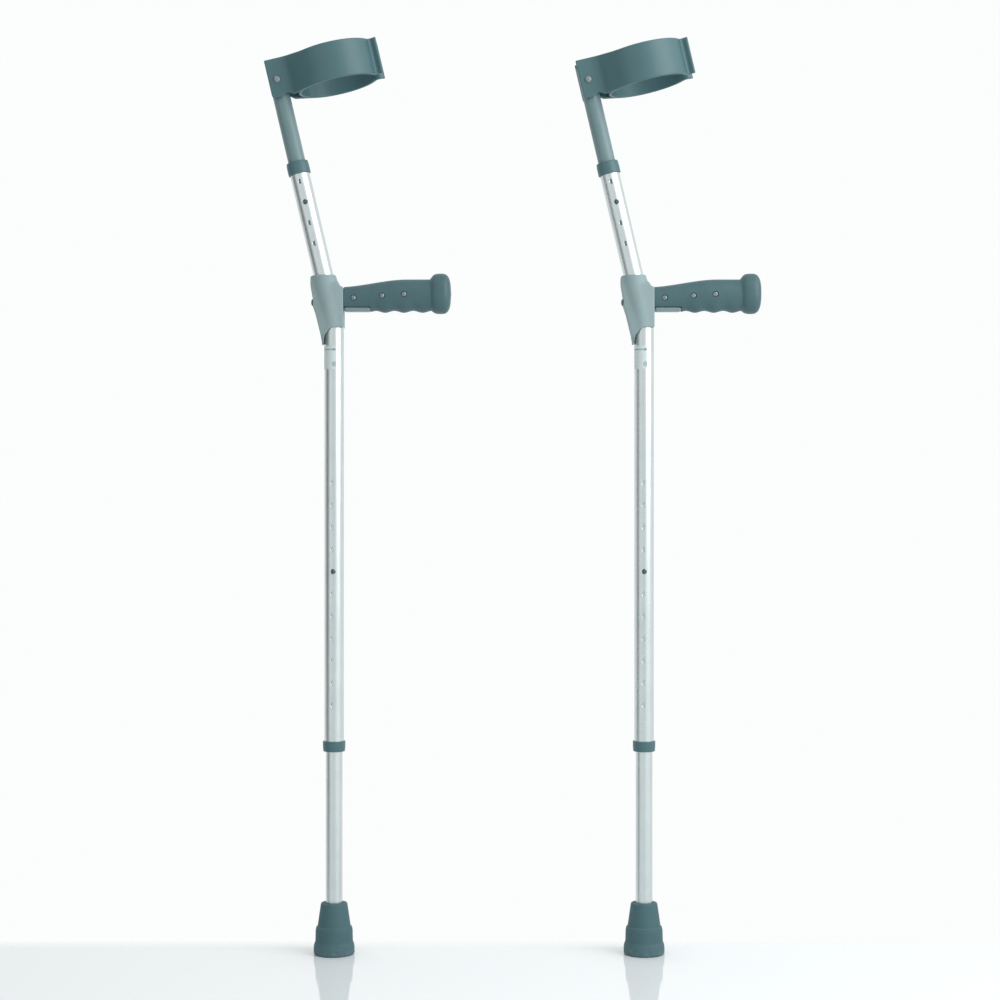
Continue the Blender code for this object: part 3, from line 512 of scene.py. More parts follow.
def drilled_tube(name, spine, bottom, top, radius, wall, holes, bends=()):
    """A tube along a spine. Holes are given as (height along, angle, radius)."""
    steps = [2 * k / PATCH_CELLS - 1 for k in range(PATCH_CELLS + 1)]
    rows = [bottom + RIM_CHAMFER, top - RIM_CHAMFER, *bends]
    columns = []
    for height, angle, size in holes:
        rows += [height + PATCH_REACH * size * step for step in steps]
        columns += [angle + PATCH_REACH * size / radius * step for step in steps]
    rows = filled(rows, 30.0)
    columns = filled(columns or [0.0], math.radians(6), closing=math.tau)
    wide = len(columns)
    points, index, faces = [], {}, []

    def vertex(key, height, angle, reach):
        if key not in index:
            x, z, lean = spine(height)
            out = reach * math.cos(angle)
            index[key] = len(points)
            points.append((x + out * math.cos(lean), reach * math.sin(angle),
                           z + out * math.sin(lean)))
        return index[key]

    def wall_vertex(layer, row, column):
        reach = radius if layer == "outer" else radius - wall
        return vertex((layer, row, column % wide), rows[row], columns[column % wide], reach)

    def bridge(first, second):
        for i in range(len(first)):
            j = (i + 1) % len(first)
            faces.append((first[i], first[j], second[j], second[i]))

    swapped = {}
    for number, (height, angle, size) in enumerate(holes):
        low = min(range(len(rows)),
                  key=lambda i: abs(rows[i] - (height - PATCH_REACH * size)))
        left = min(range(wide),
                   key=lambda i: abs(columns[i] - (angle - PATCH_REACH * size / radius)))
        for row in range(low, low + PATCH_CELLS):
            for column in range(left, left + PATCH_CELLS):
                swapped[row, column % wide] = number
        edge = [(low, left + k) for k in range(PATCH_CELLS)]
        edge += [(low + k, left + PATCH_CELLS) for k in range(PATCH_CELLS)]
        edge += [(low + PATCH_CELLS, left + PATCH_CELLS - k) for k in range(PATCH_CELLS)]
        edge += [(low + PATCH_CELLS - k, left) for k in range(PATCH_CELLS)]
        rims = []
        for ring, (grow, reach) in enumerate(((RIM_CHAMFER, radius),
                                              (0, radius - RIM_CHAMFER),
                                              (0, radius - wall))):
            rim = []
            for spot, (row, column) in enumerate(edge):
                turns = column // wide * math.tau
                across = (columns[column % wide] + turns - angle) * radius
                towards = math.atan2(rows[row] - height, across)
                rim.append(vertex((number, ring, spot),
                                  height + (size + grow) * math.sin(towards),
                                  angle + (size + grow) * math.cos(towards) / radius, reach))
            rims.append(rim)
        bridge([wall_vertex("outer", *spot) for spot in edge], rims[0])
        bridge(rims[0], rims[1])
        bridge(rims[1], rims[2])
        bridge(rims[2], [wall_vertex("inner", *spot) for spot in edge])

    for layer in ("outer", "inner"):
        for row in range(len(rows) - 1):
            for column in range(wide):
                if (row, column) not in swapped:
                    faces.append((wall_vertex(layer, row, column),
                                  wall_vertex(layer, row, column + 1),
                                  wall_vertex(layer, row + 1, column + 1),
                                  wall_vertex(layer, row + 1, column)))
    for row, height in ((0, bottom), (len(rows) - 1, top)):
        end = [vertex((height, k), height, columns[k], radius - RIM_CHAMFER)
               for k in range(wide)]
        bridge([wall_vertex("outer", row, k) for k in range(wide)], end)
        bridge(end, [wall_vertex("inner", row, k) for k in range(wide)])
    return make_mesh(name, points, faces)


FRONT = math.radians(-90)
BACK = math.radians(90)
print("tube maker ready")

# %% [markdown]
# ## Main tube
# One tube, 22.4 mm across with a 1 mm wall, leans back above its bend. It has eleven holes for
# the leg's button, one inch apart, and four closer ones for the stem's. Two holes at the bend
# take the handle's bolt.

# %% Main tube
TUBE_RADIUS = 11.2
TUBE_WALL = 1.0
TUBE_BOTTOM = 235.1
TUBE_TOP_ALONG = 184.0
BEND_RADIUS = 80.0
BEND_TANGENT = BEND_RADIUS * math.tan(LEAN / 2)
BEND_START = BEND_Z - BEND_TANGENT
BEND_END = BEND_START + BEND_RADIUS * LEAN
HOLE_RADIUS = 2.95
LEG_HOLE_PITCH = 25.4
STEM_HOLE_PITCH = 24.3
BOLT_Z = 747.0
BOLT_RADIUS = 2.5
CLEARANCE = 0.3


def main_spine(height):
    """Where the tube's axis is at a height along it, and how far it leans there."""
    beyond = height - BEND_START
    if beyond <= 0:
        return 0.0, height, 0.0
    angle = min(beyond / BEND_RADIUS, LEAN)
    rest = beyond - BEND_RADIUS * angle
    return (-BEND_RADIUS * (1 - math.cos(angle)) - rest * math.sin(angle),
            BEND_START + BEND_RADIUS * math.sin(angle) + rest * math.cos(angle), angle)


def upper_height(along):
    """Height along the main tube of a point this far up the leaning axis from the bend."""
    return BEND_END + along - BEND_TANGENT


leg_holes = [(LEG_BUTTON_Z + LEG_HOLE_PITCH * k, FRONT, HOLE_RADIUS) for k in range(-6, 5)]
stem_holes = [(upper_height(STEM_BUTTON_ALONG + STEM_HOLE_PITCH * k), FRONT, HOLE_RADIUS)
              for k in range(-2, 2)]
bolt_height = upper_height((BOLT_Z - BEND_Z) / math.cos(LEAN))
bolt_holes = [(bolt_height, angle, BOLT_RADIUS + CLEARANCE) for angle in (0.0, math.pi)]
bend_rows = [BEND_START + (BEND_END - BEND_START) * k / 9 for k in range(10)]
main_tube = drilled_tube("main_tube", main_spine, TUBE_BOTTOM, upper_height(TUBE_TOP_ALONG),
                         TUBE_RADIUS, TUBE_WALL, leg_holes + stem_holes + bolt_holes,
                         bend_rows)
fit("drawn_main_tube", main_tube, ALUMINIUM, "frame", ["main_tube"])

# %% [markdown]
# ## Leg and stem tubes
# Both slide inside the main tube. The leg is the same aluminium, and the stem is powder coated,
# so that the cuff's end looks darker. Each has one hole for its own button, and the stem has
# two more for the rivet of the cuff.

# %% Leg and stem
LEG_RADIUS = 9.6
LEG_WALL = 1.2
LEG_BOTTOM = 14.5
LEG_TOP = 560.0
STEM_RADIUS = 9.9
STEM_WALL = 1.5
STEM_TAIL = 54.0
STEM_HEAD = 16.5
STEM_BOTTOM_ALONG = STEM_BUTTON_ALONG - STEM_TAIL
STEM_TOP_ALONG = RIVET_ALONG + STEM_HEAD
RIVET_RADIUS = 2.4


def leg_spine(height):
    return 0.0, height, 0.0


def stem_spine(along):
    return -along * math.sin(LEAN), BEND_Z + along * math.cos(LEAN), LEAN


leg_tube = drilled_tube("leg_tube", leg_spine, LEG_BOTTOM, LEG_TOP, LEG_RADIUS, LEG_WALL,
                        [(LEG_BUTTON_Z, FRONT, HOLE_RADIUS)])
fit("drawn_leg_tube", leg_tube, ALUMINIUM, "leg", ["leg_tube"])
rivet_holes = [(RIVET_ALONG, angle, RIVET_RADIUS + CLEARANCE) for angle in (FRONT, BACK)]
stem_tube = drilled_tube("stem_tube", stem_spine, STEM_BOTTOM_ALONG, STEM_TOP_ALONG,
                         STEM_RADIUS, STEM_WALL,
                         [(STEM_BUTTON_ALONG, FRONT, HOLE_RADIUS), *rivet_holes])
fit("coated_stem_tube", stem_tube, POWDER_COAT, "stem", ["stem_tube"])

plug_shank = STEM_RADIUS - STEM_WALL - CLEARANCE
plug = turned("stem_plug", [
    (0, 2.6, 0), (6.5, 2.4, 2.0), (9.2, 1.2, 1.0), (STEM_RADIUS, 0, 0.3),
    (plug_shank, 0, 0.2), (plug_shank, -7.5, 0.8), (0, -7.5, 0)],
    UPPER @ raised(STEM_TOP_ALONG + CLEARANCE))
fit("domed_stem_plug", plug, CUFF_PLASTIC, "stem", ["stem_plug"])

# %% [markdown]
# ## Collars
# A moulded sleeve snaps over each end of the main tube. Its lip closes the gap to the inner
# tube, so the crutch doesn't rattle, and its edges are eased.

# %% Collars
COLLAR_RADIUS = 12.9
UPPER_COLLAR_LENGTH = 14.5
LOWER_COLLAR_LENGTH = 12.0
COLLAR_LIP = 2.5


def collar(name, bore, length, place):
    socket = TUBE_RADIUS + CLEARANCE
    return turned(name, [
        (bore, 0, 0.5), (COLLAR_RADIUS - 0.5, 0, 1.3), (COLLAR_RADIUS, 6.0, 3.0),
        (COLLAR_RADIUS, length, 0.7), (socket, length, 0.3),
        (socket, COLLAR_LIP, 0.2), (bore, COLLAR_LIP, 0.2)], place)


lower_place = raised(TUBE_BOTTOM - CLEARANCE - COLLAR_LIP)
upper_place = (UPPER @ raised(TUBE_TOP_ALONG + CLEARANCE + COLLAR_LIP)
               @ Matrix.Rotation(math.pi, 4, "X"))
for name, inner_radius, length, place in (
        ("lower_collar", LEG_RADIUS, LOWER_COLLAR_LENGTH, lower_place),
        ("upper_collar", STEM_RADIUS, UPPER_COLLAR_LENGTH, upper_place)):
    fit(f"moulded_{name}", collar(name, inner_radius + CLEARANCE, length, place),
        CUFF_PLASTIC, "frame", [name])

# %% [markdown]
# ## Snap buttons
# A sprung steel button stands through the tube wall and locks each length. It is a small dome
# on a shank, with a flange that keeps it from falling out.

# %% Snap buttons
button_profile = [(0, 12.6, 0), (1.6, 12.5, 0.6), (2.6, 11.2, 0.9), (2.6, 7.0, 0),
                  (3.8, 7.0, 0.3), (3.8, 5.9, 0.2), (0, 5.9, 0)]
for tube, place in (("leg", raised(LEG_BUTTON_Z)),
                    ("stem", UPPER @ raised(STEM_BUTTON_ALONG))):
    button = turned(f"{tube}_button", button_profile, place @ FACING_FRONT, 48)
    fit(f"domed_{tube}_button", button, DARK_STEEL, f"{tube}_button",
        [f"{tube}_snap_button"])

# %% [markdown]
# ## Ferrule
# The rubber foot is moulded in one piece: a sleeve that grips the leg, a shoulder, and a flared
# tread. Two ring grooves in the sole let it grip a wet floor.

# %% Ferrule
SOCKET_FLOOR = 12.5
FERRULE_TOP = 59.0
ferrule_socket = LEG_RADIUS + CLEARANCE
ferrule_profile = [
    (0, SOCKET_FLOOR, 0), (ferrule_socket, SOCKET_FLOOR, 0),
    (ferrule_socket, FERRULE_TOP, 0.5), (14.9, FERRULE_TOP, 2.0), (15.6, 55.0, 4.0),
    (18.2, 37.0, 8.0), (18.9, 32.6, 1.2),
    (20.5, 31.0, 1.6), (21.2, 27.5, 4.0), (21.5, 15.0, 3.0), (22.9, 11.5, 3.0),
    (23.4, 8.0, 3.0), (23.4, 1.6, 1.6), (21.8, 0, 0.8),
    (18.5, 0, 0.4), (18.5, 2.0, 0.5), (15.5, 2.0, 0.5), (15.5, 0, 0.4),
    (12.5, 0, 0.4), (12.5, 2.0, 0.5), (9.5, 2.0, 0.5), (9.5, 0, 0.4), (0, 0, 0)]
fit("moulded_ferrule", turned("ferrule", ferrule_profile, sides=96), RUBBER, "leg",
    ["ferrule"])

# %% [markdown]
# ## Handle bracket
# The bracket is one moulding: a sleeve round the bend, a flat seat for the handle in front, a
# boss for the bolt behind and a tongue down the back of the tube. A remesh and smoothing melt
# the joined solids into the soft fillets that a mould has. The result is trimmed to the side
# view, a finer pass eases that edge, and the bores are cut last so that they stay crisp.

# %% Bracket
BRACKET_RADIUS = 14.2
SEAT_X = 11.2
BOSS_X = -24.0
PIPE_LOW, PIPE_HIGH = 680.0, 812.0
MELT_CELL = 1.0
REMESH_CELL = 0.55


def pipe(name, bottom, top, radius, sides=64):
    """A solid bar along the main tube's axis."""
    rings = []
    for height in filled([bottom, top, *[h for h in bend_rows if bottom < h < top]], 6.0):
        x, z, lean = main_spine(height)
        rings.append([(x + radius * math.cos(a) * math.cos(lean), radius * math.sin(a),
                       z + radius * math.cos(a) * math.sin(lean))
                      for a in [math.tau * (k + 0.31) / sides for k in range(sides)]])
    return lofted(name, rings)


bracket_side = rounded([
    (-26.9, 777.4, 3.0), (-26.9, 767.0, 6.0), (BOSS_X - 0.5, 752.8, 0.8),
    (BOSS_X, 751.6, 0.5), (BOSS_X, 742.4, 1.0), (-20.8, 733.0, 6.0), (-14.8, 709.0, 6.0),
    (-14.3, 698.3, 1.2), (-12.0, 698.3, 1.0), (-10.4, 709.0, 6.0), (-3.6, 717.8, 5.0),
    (SEAT_X, 717.8, 1.2), (SEAT_X, 763.6, 1.6), (7.0, 765.6, 2.5), (3.4, 773.5, 3.0),
    (1.6, 778.4, 1.4)], closed=True)
boss = prism("boss", [(-2, -13.6), (-31, -4.6), (-31, 4.6), (-2, 13.6)], 40.0,
             raised(746.0) @ FACING_FRONT)
seat = prism("seat", [(-6, 706), (19, 706), (19, 770), (-6, 770)], 13.4)
soft_edges = ("BEVEL", {"width": 3.5 * MM, "segments": 5, "limit_method": "ANGLE"})
melted = worked(pipe("bracket", PIPE_LOW, PIPE_HIGH, BRACKET_RADIUS),
                join(worked(boss, soft_edges)), join(worked(seat, soft_edges)),
                ("REMESH", {"mode": "VOXEL", "voxel_size": MELT_CELL * MM}),
                ("SMOOTH", {"factor": 0.5, "iterations": 40}))
bracket = worked(melted,
                 boolean(prism("side_view", bracket_side, 20.0), "INTERSECT"),
                 ("REMESH", {"mode": "VOXEL", "voxel_size": REMESH_CELL * MM}),
                 ("SMOOTH", {"factor": 0.5, "iterations": 9}),
                 cut(pipe("bore", PIPE_LOW, PIPE_HIGH, TUBE_RADIUS + CLEARANCE)),
                 cut(rod("bolt_bore", BOLT_RADIUS + CLEARANCE, -60, 60,
                         raised(BOLT_Z) @ FACING_SIDE, 32)))
fit("moulded_handle_bracket", bracket, BRACKET_PLASTIC, "frame", ["handle_bracket"])

# %% [markdown]
# ## Handle bolt
# A button-head bolt with a hexagon socket comes in from the back of the bracket, passes through
# the tube and ends in the handle's core.

# %% Bolt
BOLT_REACH = 18.0
BOLT_HEAD_HEIGHT = 2.0
bolt_end = -(SEAT_X + BOLT_REACH - BOSS_X)
bolt_place = (Matrix.Translation((BOSS_X - CLEARANCE, 0, BOLT_Z))
              @ Matrix.Rotation(-math.pi / 2, 4, "Y"))
bolt = turned("handle_bolt", [(0, BOLT_HEAD_HEIGHT, 0), (2.2, 1.9, 0.6), (3.9, 1.0, 1.1),
                              (4.2, 0, 0.3),
                              (BOLT_RADIUS, 0, 0), (BOLT_RADIUS, bolt_end + 0.8, 0.2),
                              (BOLT_RADIUS - 0.8, bolt_end, 0), (0, bolt_end, 0)],
              bolt_place, 48)
hexagon = [(1.45 * math.cos(math.tau * k / 6), 1.45 * math.sin(math.tau * k / 6))
           for k in range(6)]
socket_place = bolt_place @ raised(BOLT_HEAD_HEIGHT) @ FACING_FRONT
bolt = worked(bolt, cut(prism("hexagon_socket", hexagon, 1.4, socket_place)))
fit("button_head_handle_bolt", bolt, DARK_STEEL, "frame", ["handle_bolt"])

# %% [markdown]
# ## Grip
# The grip is lofted from sections that are nearly oval. Its back rises towards the palm, its
# underside has shallow finger scallops, and it ends in a bulb that stops the hand. The root is
# cut away over the core's foot, and the screws sit in small wells.

# %% Grip
GRIP_START = SEAT_X + CLEARANCE
CORE_FOOT_END = 42.0
CORE_FOOT_TOP = 741.2
BULB_X, BULB_Z = 122.5, 757.0
BULB_NECK = 14.5
BULB_SQUARENESS = 3.0
BULB_LENGTH, BULB_WIDTH, BULB_HEIGHT = 11.5, 17.8, 23.1
ROOT_TOP, ROOT_HALF_WIDTH = 764.6, 12.2
BACK_RISE, BACK_WIDENING = 8.8, 2.4
UNDERSIDE = 736.4
SCALLOP_DEPTH, SCALLOP_PITCH, FIRST_SCALLOP = 1.1, 21.5, 58.5
GRIP_SCREWS = ((22.9, 751.5), (55.5, 753.7), (80.5, 755.4))
SQUARENESS = 0.86
SCREW_WELL_DEPTH = 1.8
PLUG_RADIUS = 6.0
PLUG_FACE_X = 133.2


def eased(value):
    value = min(max(value, 0.0), 1.0)
    return value * value * (3 - 2 * value)


def grip_section(x):
    """Middle height, half width and half height of the grip at a distance along it."""
    rise = eased((x - 4.0) / 80.0)
    top = ROOT_TOP + BACK_RISE * rise
    wave = math.cos(math.tau * (x - FIRST_SCALLOP) / SCALLOP_PITCH)
    bottom = UNDERSIDE - SCALLOP_DEPTH * wave * eased((x - 40.0) / 8.0)
    half_width = ROOT_HALF_WIDTH + BACK_WIDENING * rise
    reach = BULB_LENGTH if x > BULB_X else BULB_NECK
    along = min(abs(x - BULB_X) / reach, 1.0)
    swell = (1 - along ** BULB_SQUARENESS) ** (1 / BULB_SQUARENESS)
    bulb_top = BULB_Z + BULB_HEIGHT * swell
    bulb_bottom = BULB_Z - BULB_HEIGHT * swell
    if x > BULB_X:
        return BULB_Z, BULB_WIDTH * swell, BULB_HEIGHT * swell
    neck = eased((x - 104.0) / 11.0)
    top += max(bulb_top - top, 0) * neck
    bottom += min(bulb_bottom - bottom, 0) * neck
    half_width += max(BULB_WIDTH * swell - half_width, 0) * neck
    return (top + bottom) / 2, half_width, (top - bottom) / 2


def grip_ring(x, sides=72):
    height, half_width, half_height = grip_section(x)
    ring = []
    for k in range(sides):
        across, up = math.cos(math.tau * k / sides), math.sin(math.tau * k / sides)
        ring.append((x, half_width * math.copysign(abs(across) ** SQUARENESS, across),
                     height + half_height * math.copysign(abs(up) ** SQUARENESS, up)))
    return ring


def screw_place(x, z, depth):
    """A frame on the grip's near side at this depth, with Z pointing out of the grip."""
    return Matrix.Translation((x, depth - grip_section(x)[1], z)) @ FACING_FRONT


shaft_stations = [GRIP_START + (BULB_X - BULB_NECK - GRIP_START) * k / 84
                  for k in range(85)]
bulb_stations = [BULB_X - BULB_NECK * math.cos(math.radians(a)) for a in range(6, 90, 6)]
bulb_stations += [BULB_X - BULB_LENGTH * math.cos(math.radians(a))
                  for a in [*range(90, 150, 6), *range(150, 176, 4)]]
grip = lofted("grip", [grip_ring(x) for x in shaft_stations + bulb_stations])
foot_cut = prism("foot_cut", rounded([
    (0, 720.0, 0), (CORE_FOOT_END + CLEARANCE, 720.0, 0),
    (CORE_FOOT_END + CLEARANCE, CORE_FOOT_TOP + CLEARANCE, 1.2),
    (0, CORE_FOOT_TOP + CLEARANCE, 0)], closed=True), 20.0)
wells = [turned("screw_well", [(0, 0, 0), (3.3, 0, 0.3), (3.3, 1.3, 0.2), (4.4, 2.4, 0),
                               (4.4, 8.0, 0), (0, 8.0, 0)],
                screw_place(x, z, SCREW_WELL_DEPTH), 40) for x, z in GRIP_SCREWS]
plug_place = Matrix.Translation((PLUG_FACE_X, 0, BULB_Z)) @ FACING_SIDE
plug_well = rod("plug_well", PLUG_RADIUS + CLEARANCE, -6.4, 9.0, plug_place, 48)
grip = worked(grip, cut(foot_cut), *[cut(well) for well in wells], cut(plug_well))
fit("moulded_grip", grip, GRIP_VINYL, "frame", ["grip"])

# %% [markdown]
# ## Grip screws and end plug
# Three pan-head screws with cross recesses hold the grip to its core. A shallow domed plug
# closes the hole in the end of the bulb.

# %% Screws and plug
SCREW_HEAD_HEIGHT = 1.5
cross = [(1.7, 0.3), (0.3, 0.3), (0.3, 1.7), (-0.3, 1.7), (-0.3, 0.3), (-1.7, 0.3),
         (-1.7, -0.3), (-0.3, -0.3), (-0.3, -1.7), (0.3, -1.7), (0.3, -0.3), (1.7, -0.3)]
seat_depth = SCREW_WELL_DEPTH - CLEARANCE
for number, (x, z) in enumerate(GRIP_SCREWS, start=1):
    screw = turned(f"grip_screw_{number}", [
        (0, SCREW_HEAD_HEIGHT, 0), (1.6, 1.4, 0.8), (2.9, 0.7, 0.8), (3.0, 0, 0.2),
        (1.4, 0, 0), (1.4, -7.5, 0.3), (0, -8.5, 0)], screw_place(x, z, seat_depth), 48)
    spin = Matrix.Rotation(math.radians(25 * number), 4, "Z")
    recess = prism("cross_recess", cross, 0.8,
                   screw_place(x, z, seat_depth - SCREW_HEAD_HEIGHT) @ spin @ FACING_FRONT)
    fit(f"cross_head_grip_screw_{number}", worked(screw, cut(recess)), ZINC, "frame",
        [f"grip_screw_{number}"])
end_plug = turned("grip_end_plug", [
    (0, 1.2, 0), (3.5, 0.9, 2.0), (PLUG_RADIUS - 0.6, 0.1, 0.4), (PLUG_RADIUS, -0.6, 0.3),
    (PLUG_RADIUS, -6.0, 0.3), (0, -6.0, 0)], plug_place, 48)
fit("domed_grip_end_plug", end_plug, CUFF_PLASTIC, "frame", ["grip_end_plug"])

# %% [markdown]
# ## Forearm cuff
# The cuff is an open ring with two lips in front and two cheeks that straddle the stem. Seen
# from above, each half is one wall of even thickness: it starts at the back of a cheek,
# flares out through a fillet to meet the ring, goes round the arm, and turns forward at the
# lip. So each half is swept along that line with rounded edges, and a short wall behind joins
# the two.

# %% Cuff line and wall
CUFF_HALF_HEIGHT = 21.0
CUFF_HALF_WALL = 1.75
CUFF_MID_RADIUS = 45.25
CUFF_CENTRE = 67.0
CHEEK_MID = 12.45
CHEEK_BACK = -9.7
CHEEK_FILLET = 18.0
FLARE_TOUCH = 48.0
LIP_MID = 13.5
LIP_BEND = 5.0
LIP_FLARE = 28.0
LIP_TIP = 120.0
EDGE_ROUNDING = 1.3
FINE_LENGTH = 3.0
BACK_START = 142
LUG_CORNER = 4.0
TOP_CORNER = 1.0
CHEEK_RISE = 3.0
RISE_START = 8.0
RISE_END = 42.0
NOTCH_PLACE = 7.8
NOTCH_HALF_WIDTH = 8.0
NOTCH_RISE = 3.8


def turn_points(centre, radius, start, end, count):
    """Points along an arc, angles in degrees, without its first point."""
    angles = [math.radians(start + (end - start) * k / count) for k in range(1, count + 1)]
    return [(centre[0] + radius * math.cos(a), centre[1] + radius * math.sin(a))
            for a in angles]


def cuff_half_line():
    """The middle of one wall, from the back of the cheek to the tip of the lip."""
    touch = math.radians(180 - FLARE_TOUCH)
    touch_u = CUFF_CENTRE + CUFF_MID_RADIUS * math.cos(touch)
    touch_v = CUFF_MID_RADIUS * math.sin(touch)
    flare = 90 - FLARE_TOUCH
    corner_u = touch_u - (touch_v - CHEEK_MID) / math.tan(math.radians(flare))
    bend_u = corner_u - CHEEK_FILLET * math.tan(math.radians(flare / 2))
    fine_end = CHEEK_BACK + FINE_LENGTH
    line = [(CHEEK_BACK + FINE_LENGTH * (1 - math.cos(math.pi / 2 * k / 10)), CHEEK_MID)
            for k in range(10)]
    line += [(fine_end + (bend_u - fine_end) * k / 16, CHEEK_MID) for k in range(17)]
    line += turn_points((bend_u, CHEEK_MID + CHEEK_FILLET), CHEEK_FILLET, -90,
                        flare - 90, 10)
    from_u, from_v = line[-1]
    line += [(from_u + (touch_u - from_u) * k / 8, from_v + (touch_v - from_v) * k / 8)
             for k in range(1, 8)]
    lip_v = LIP_MID + LIP_BEND
    meets = math.degrees(math.asin(lip_v / (CUFF_MID_RADIUS + LIP_BEND)))
    lip_u = CUFF_CENTRE + (CUFF_MID_RADIUS + LIP_BEND) * math.cos(math.radians(meets))
    line += [(touch_u, touch_v)]
    line += turn_points((CUFF_CENTRE, 0), CUFF_MID_RADIUS, 180 - FLARE_TOUCH, meets, 56)
    line += turn_points((lip_u, lip_v), LIP_BEND, 180 + meets, 270 + LIP_FLARE, 10)
    from_u, from_v = line[-1]
    slope = math.tan(math.radians(LIP_FLARE))
    for k in range(1, 9):
        further = (LIP_TIP - from_u) * math.sin(math.pi / 2 * k / 8)
        line.append((from_u + further, from_v + further * slope))
    return line


def cheek_low(u):
    """Lower edge of a wall: rounded at the back, notched in front of the stem."""
    back = min(u - CHEEK_BACK, LUG_CORNER)
    corner = LUG_CORNER - math.sqrt(LUG_CORNER ** 2 - (LUG_CORNER - back) ** 2)
    notch = NOTCH_RISE * eased(1 - abs(u - NOTCH_PLACE) / NOTCH_HALF_WIDTH)
    return -CUFF_HALF_HEIGHT + corner + notch


def cheek_high(u):
    """Upper edge of a wall: highest over the cheek, with its back corner rounded."""
    back = min(u - CHEEK_BACK, TOP_CORNER)
    corner = TOP_CORNER - math.sqrt(TOP_CORNER ** 2 - (TOP_CORNER - back) ** 2)
    rise = CHEEK_RISE * eased((RISE_END - u) / (RISE_END - RISE_START))
    return CUFF_HALF_HEIGHT - corner + rise


def thinned(distance, reach=1.6, least=0.55):
    """Half thickness this far from an end, so that the end is rounded."""
    part = min(max(distance / reach, 0.0), 1.0)
    return CUFF_HALF_WALL * (least + (1 - least) * math.sqrt(1 - (1 - part) ** 2))


def wall_ring(place, normal, half, low, high):
    """A section across the wall: a tall bar with rounded edges."""
    ease = min(EDGE_ROUNDING, half * 0.98)
    corners = [(half, low + ease, -90), (half, high - ease, 0), (-half, high - ease, 90),
               (-half, low + ease, 180)]
    ring = []
    for side, height, start in corners:
        for k in range(6):
            angle = math.radians(start + 90 * k / 5)
            out = math.copysign(half - ease, side) + ease * math.cos(angle)
            ring.append((place[0] + normal[0] * out, place[1] + normal[1] * out,
                         height + ease * math.sin(angle)))
    return ring


def swept_wall(line, low_at, high_at, half_at):
    rings = []
    for i, place in enumerate(line):
        before, after = line[max(i - 1, 0)], line[min(i + 1, len(line) - 1)]
        along = Vector((after[0] - before[0], after[1] - before[1])).normalized()
        rings.append(wall_ring(place, (along.y, -along.x), half_at(i), low_at(place[0]),
                               high_at(place[0])))
    return rings


half_line = cuff_half_line()
travel = [0.0]
for first, second in zip(half_line, half_line[1:]):
    travel.append(travel[-1] + math.dist(first, second))


def half_wall(i):
    return thinned(min(travel[i], travel[-1] - travel[i]))


near_rings = swept_wall(half_line, cheek_low, cheek_high, half_wall)
far_rings = [[(u, -v, w) for u, v, w in ring] for ring in near_rings]
back_line = turn_points((CUFF_CENTRE, 0), CUFF_MID_RADIUS, BACK_START, 360 - BACK_START, 40)
back_height = CUFF_HALF_HEIGHT - 0.25
back_rings = swept_wall(back_line, lambda u: -back_height, lambda u: back_height,
                        lambda i: CUFF_HALF_WALL - 0.15)
print(f"each wall of the cuff runs {travel[-1]:.0f} mm")

# %% Cuff
rivet_bore = rod("rivet_bore", RIVET_RADIUS + CLEARANCE, -20, 20,
                 CUFF_PLACE @ FACING_FRONT, 40)
cuff = worked(lofted("cuff", near_rings, CUFF_PLACE),
              join(lofted("far_wall", far_rings, CUFF_PLACE)),
              join(lofted("back_wall", back_rings, CUFF_PLACE)), cut(rivet_bore))
fit("moulded_forearm_cuff", cuff, CUFF_PLASTIC, "cuff_body", ["cuff"])

# %% [markdown]
# ## Cuff rivet
# The cuff turns on a steel rivet. Its smooth head is on the near side, and on the far side the
# shank is hammered over a washer.

# %% Rivet and washer
WASHER_THICKNESS = 1.1
head = CHEEK_MID + CUFF_HALF_WALL + CLEARANCE
far_head = head + WASHER_THICKNESS + CLEARANCE
rivet = turned("cuff_rivet", [
    (0, head + 2.0, 0), (2.4, head + 1.8, 1.2), (3.9, head + 0.8, 1.2), (4.3, head, 0.3),
    (RIVET_RADIUS, head, 0), (RIVET_RADIUS, -far_head, 0), (3.9, -far_head, 0.3),
    (3.5, -far_head - 0.9, 0.8), (1.6, -far_head - 1.6, 0.6), (1.2, -far_head - 1.0, 0.3),
    (0, -far_head - 0.9, 0)], CUFF_PLACE @ FACING_FRONT)
fit("domed_cuff_rivet", rivet, ZINC, "stem", ["cuff_rivet"])
washer_back = -head - WASHER_THICKNESS
washer = turned("cuff_rivet_washer", [
    (RIVET_RADIUS + CLEARANCE, -head, 0.15), (5.2, -head, 0.25), (5.2, washer_back, 0.25),
    (RIVET_RADIUS + CLEARANCE, washer_back, 0.15)], CUFF_PLACE @ FACING_FRONT)
fit("flat_cuff_rivet_washer", washer, ZINC, "stem", ["cuff_rivet_washer"])

# %% [markdown]
# ## Label
# A printed film is wrapped round the tube below the bracket. The print here is generic: a rule
# along the top, a dot and a round seal, with no lettering. It is worked out from the height and
# the distance round the tube, so it needs no image.

# %% Label film
LABEL_LOW, LABEL_HIGH = 670.0, 697.0
LABEL_START, LABEL_END = math.radians(186), math.radians(284)
LABEL_INNER, LABEL_OUTER = TUBE_RADIUS + 0.05, TUBE_RADIUS + 0.25
LABEL_CORNER = 2.5
RULE_HEIGHT = 692.6
SEAL_HEIGHT = 676.0


